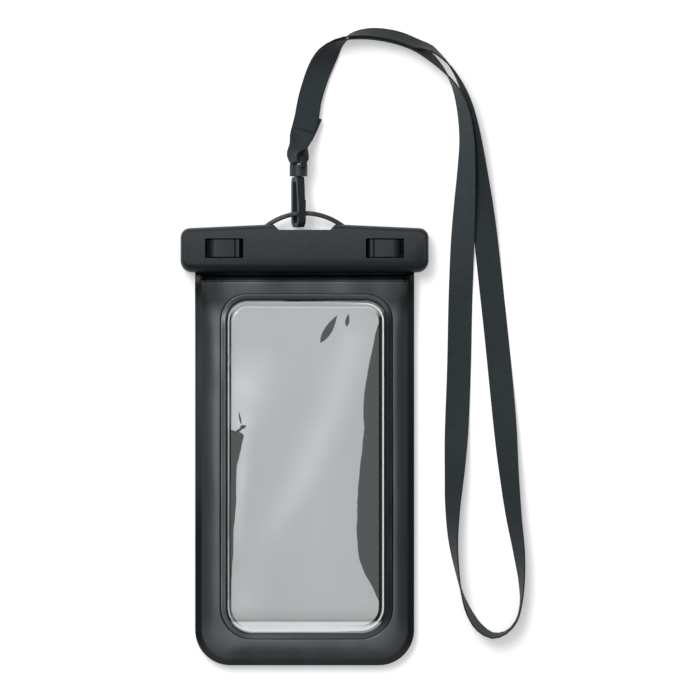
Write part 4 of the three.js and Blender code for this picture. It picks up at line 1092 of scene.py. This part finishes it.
def film_finish(name, tint, milkiness, marked):
    """Clear vinyl: glossy and a little milky; when marked, it carries the painted sheen, reflections,
    highlights and shade of film_marks.
    """
    material, tree, surface = finish(name, tint, 0.1)
    surface.inputs["Specular Tint"].default_value = (1, 1, 1, 1)
    haze = noise(tree, 26, detail=2, stretch=(1, 0.5, 1))
    colour = shaded(tree, tint, spread(tree, haze, 0.97, 1.03, 0.3, 0.7))
    alpha = spread(tree, haze, milkiness - 0.01, milkiness + 0.01, 0.3, 0.7)
    if marked:
        colour, alpha, black = film_marks(tree, colour, alpha)
        tree.links.new(spread(tree, black, 0.5, 0.1), surface.inputs["Specular IOR Level"])
    tree.links.new(colour, surface.inputs["Base Color"])
    tree.links.new(alpha, surface.inputs["Alpha"])
    fine = noise(tree, 70, detail=2, stretch=(1, 0.4, 1))
    bumps(tree, surface, [(fine, 0.06, 0.0002)])
    return material


border_vinyl = vinyl_finish()
for sheet_piece, stands_for in ((front_sheet, "front_frame_sheet"), (rear_sheet, "rear_frame_sheet")):
    sheet_piece.data.materials.append(border_vinyl)
    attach(sheet_piece, "pouch")
    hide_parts(stands_for)
front_film.data.materials.append(film_finish("clear_front_vinyl", srgb(200, 204, 205), 0.46, True))
rear_film.data.materials.append(film_finish("clear_rear_vinyl", srgb(193, 201, 201), 0.34, False))
for film_piece, stands_for in ((front_film, "front_window_film"), (rear_film, "rear_window_film")):
    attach(film_piece, "pouch")
    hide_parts(stands_for)

# Floor, lamps and world
FLOOR_GLOW = 0.3  # of the white that is seen, so that the unshaded floor is plain white


def pale_floor_finish():
    """White paper that glows a little to the camera, in reflections and through the films."""
    material = bpy.data.materials.new("pale_floor")
    material.use_nodes = True
    tree = material.node_tree
    tree.nodes.clear()
    paper = add(tree, "ShaderNodeBsdfDiffuse", {"Color": (0.88, 0.88, 0.88, 1)})
    path = add(tree, "ShaderNodeLightPath").outputs
    seen = largest(tree, path["Is Camera Ray"], path["Is Glossy Ray"], path["Is Transmission Ray"])
    glow = product(tree, seen, FLOOR_GLOW)
    white = add(tree, "ShaderNodeEmission", {"Color": (1, 1, 1, 1), "Strength": glow})
    both = add(tree, "ShaderNodeAddShader", {0: paper.outputs["BSDF"], 1: white.outputs["Emission"]})
    add(tree, "ShaderNodeOutputMaterial", {"Surface": both.outputs["Shader"]})
    return material


bpy.ops.mesh.primitive_plane_add(size=6, location=(0, 0, -0.0001))
floor = bpy.context.active_object
floor.name = "studio_floor"
floor.data.materials.append(pale_floor_finish())
floor.select_set(False)


def softbox(name, direction, distance, size, strength):
    """A square lamp that faces the pouch; strength is what it adds to a colour lying flat."""
    towards = Vector(direction).normalized()
    data = bpy.data.lights.new(name, "AREA")
    data.shape = "SQUARE"
    data.size = size
    data.energy = strength * math.pi * math.pi * distance**2 / towards.z
    lamp = bpy.data.objects.new(name, data)
    lamp.location = Vector((*VIEW_CENTRE, 0)) + towards * distance
    lamp.rotation_euler = towards.to_track_quat("Z", "Y").to_euler()
    bpy.context.scene.collection.objects.link(lamp)


softbox("key_softbox", (-0.34, 0.4, 1), 1.9, 0.75, 0.36)
softbox("top_softbox", (-0.3, 0.8, 1), 2.0, 0.9, 0.2)
softbox("overhead_softbox", (0, 0, 1), 3.4, 2.8, 0.26)

world = bpy.data.worlds.new("studio")
world.use_nodes = True
world.node_tree.nodes["Background"].inputs["Color"].default_value = (1, 1, 1, 1)
world.node_tree.nodes["Background"].inputs["Strength"].default_value = 0.24
bpy.context.scene.world = world


# Moulded plastic, rubber and steel of the carried-over nodes
COLLAR_Y = (0.1259, 0.1311)
LOCK_WELL_X = (0.0290, 0.0500)  # to both sides of the middle
LOCK_WELL_Y = (0.0863, 0.0961)
LOCK_WELL_Z = (0.0045, 0.0133)


def collar_light(tree):
    """Painted light on the swivel's collar, which is made a little paler."""
    _, y, _ = own_place(tree)
    return spread(tree, ridge(tree, y, *COLLAR_Y, 0.0002), 1, 2.1)


def clamp_light(tree):
    """Painted shade on the clamp: darker towards its lower edge, and dark inside the lock windows."""
    x, y, z = own_place(tree)
    lower = spread(tree, y, 0.72, 1.04, 0.082, 0.101)
    across = ridge(tree, size_of(tree, x), *LOCK_WELL_X, 0.0003)
    well = product(tree, across, ridge(tree, y, *LOCK_WELL_Y, 0.0003), ridge(tree, z, *LOCK_WELL_Z, 0.0005))
    return lower, well


def moulded(name, colour, roughness, grain=0.25, specular=0.5, dark_wells=False, painted_collar_light=False):
    """Fine moulded grain, faint flow clouding and small gloss changes; where asked, painted shade on the
    clamp and painted light on the collar.
    """
    material, tree, surface = finish(name, colour, roughness, specular)
    cloud = noise(tree, 45, detail=4)
    fine = noise(tree, 5200, detail=2, roughness=0.6)
    scuff = noise(tree, 900, detail=3, stretch=(1, 0.18, 1))
    light = spread(tree, cloud, 0.9, 1.12, 0.3, 0.7)
    if painted_collar_light:
        light = product(tree, light, collar_light(tree))
    # Painted shade towards the clamp's lower edge and inside the lock windows, with less shine there
    if dark_wells:
        lower, well = clamp_light(tree)
        light = product(tree, light, lower, spread(tree, well, 1, 0.12))
        shine = product(tree, spread(tree, well, specular, 0.03), lower)
        tree.links.new(shine, surface.inputs["Specular IOR Level"])
    tree.links.new(shaded(tree, colour, light), surface.inputs["Base Color"])
    scuffed = spread(tree, scuff, roughness - 0.05, roughness + 0.07, 0.3, 0.7)
    tree.links.new(total(tree, spread(tree, fine, -0.05, 0.05), scuffed), surface.inputs["Roughness"])
    bumps(tree, surface, [(fine, grain, 0.00006), (cloud, 0.1, 0.0003)])
    return material


def steel_finish():
    """Blackened steel wire with faint drawing marks."""
    material, tree, surface = finish("blackened_steel", srgb(44, 46, 48), 0.4)
    surface.inputs["Metallic"].default_value = 0.9
    drawn = noise(tree, 800, stretch=(1, 0.02, 1))
    bumps(tree, surface, [(drawn, 0.3, 0.00003)])
    tree.links.new(spread(tree, drawn, 0.35, 0.5), surface.inputs["Roughness"])
    return material


def smooth_node(node, angle=32):
    """Shades a carried-over node smoothly between its sharp edges."""
    node.data.polygons.foreach_set("use_smooth", [True] * len(node.data.polygons))
    weld = node.modifiers.new("join_facets", "WELD")
    weld.merge_threshold = 0.00001
    split = node.modifiers.new("keep_edges_sharp", "EDGE_SPLIT")
    split.split_angle = math.radians(angle)
    split.use_edge_sharp = False


def dress(material, *names):
    for name in names:
        node = nodes[name]
        node.data.materials.clear()
        node.data.materials.append(material)
        smooth_node(node)


clamp_plastic = moulded("clamp_moulding", srgb(31, 35, 38), 0.42, specular=0.32, dark_wells=True)
lever_plastic = moulded("lever_moulding", srgb(25, 29, 33), 0.38, grain=0.15, specular=0.28)
clasp_plastic = moulded("clasp_moulding", srgb(27, 32, 34), 0.46, grain=0.15, specular=0.32, painted_collar_light=True)
dress(clamp_plastic, "front_clamp_bar", "rear_clamp_bar")
dress(lever_plastic, "left_lock_lever", "right_lock_lever")
dress(clasp_plastic, "snap_hook", "swivel_eye")
dress(moulded("seal_rubber", srgb(26, 27, 28), 0.75), "front_seal_strip", "rear_seal_strip")
dress(steel_finish(), "left_lock_pin", "right_lock_pin")
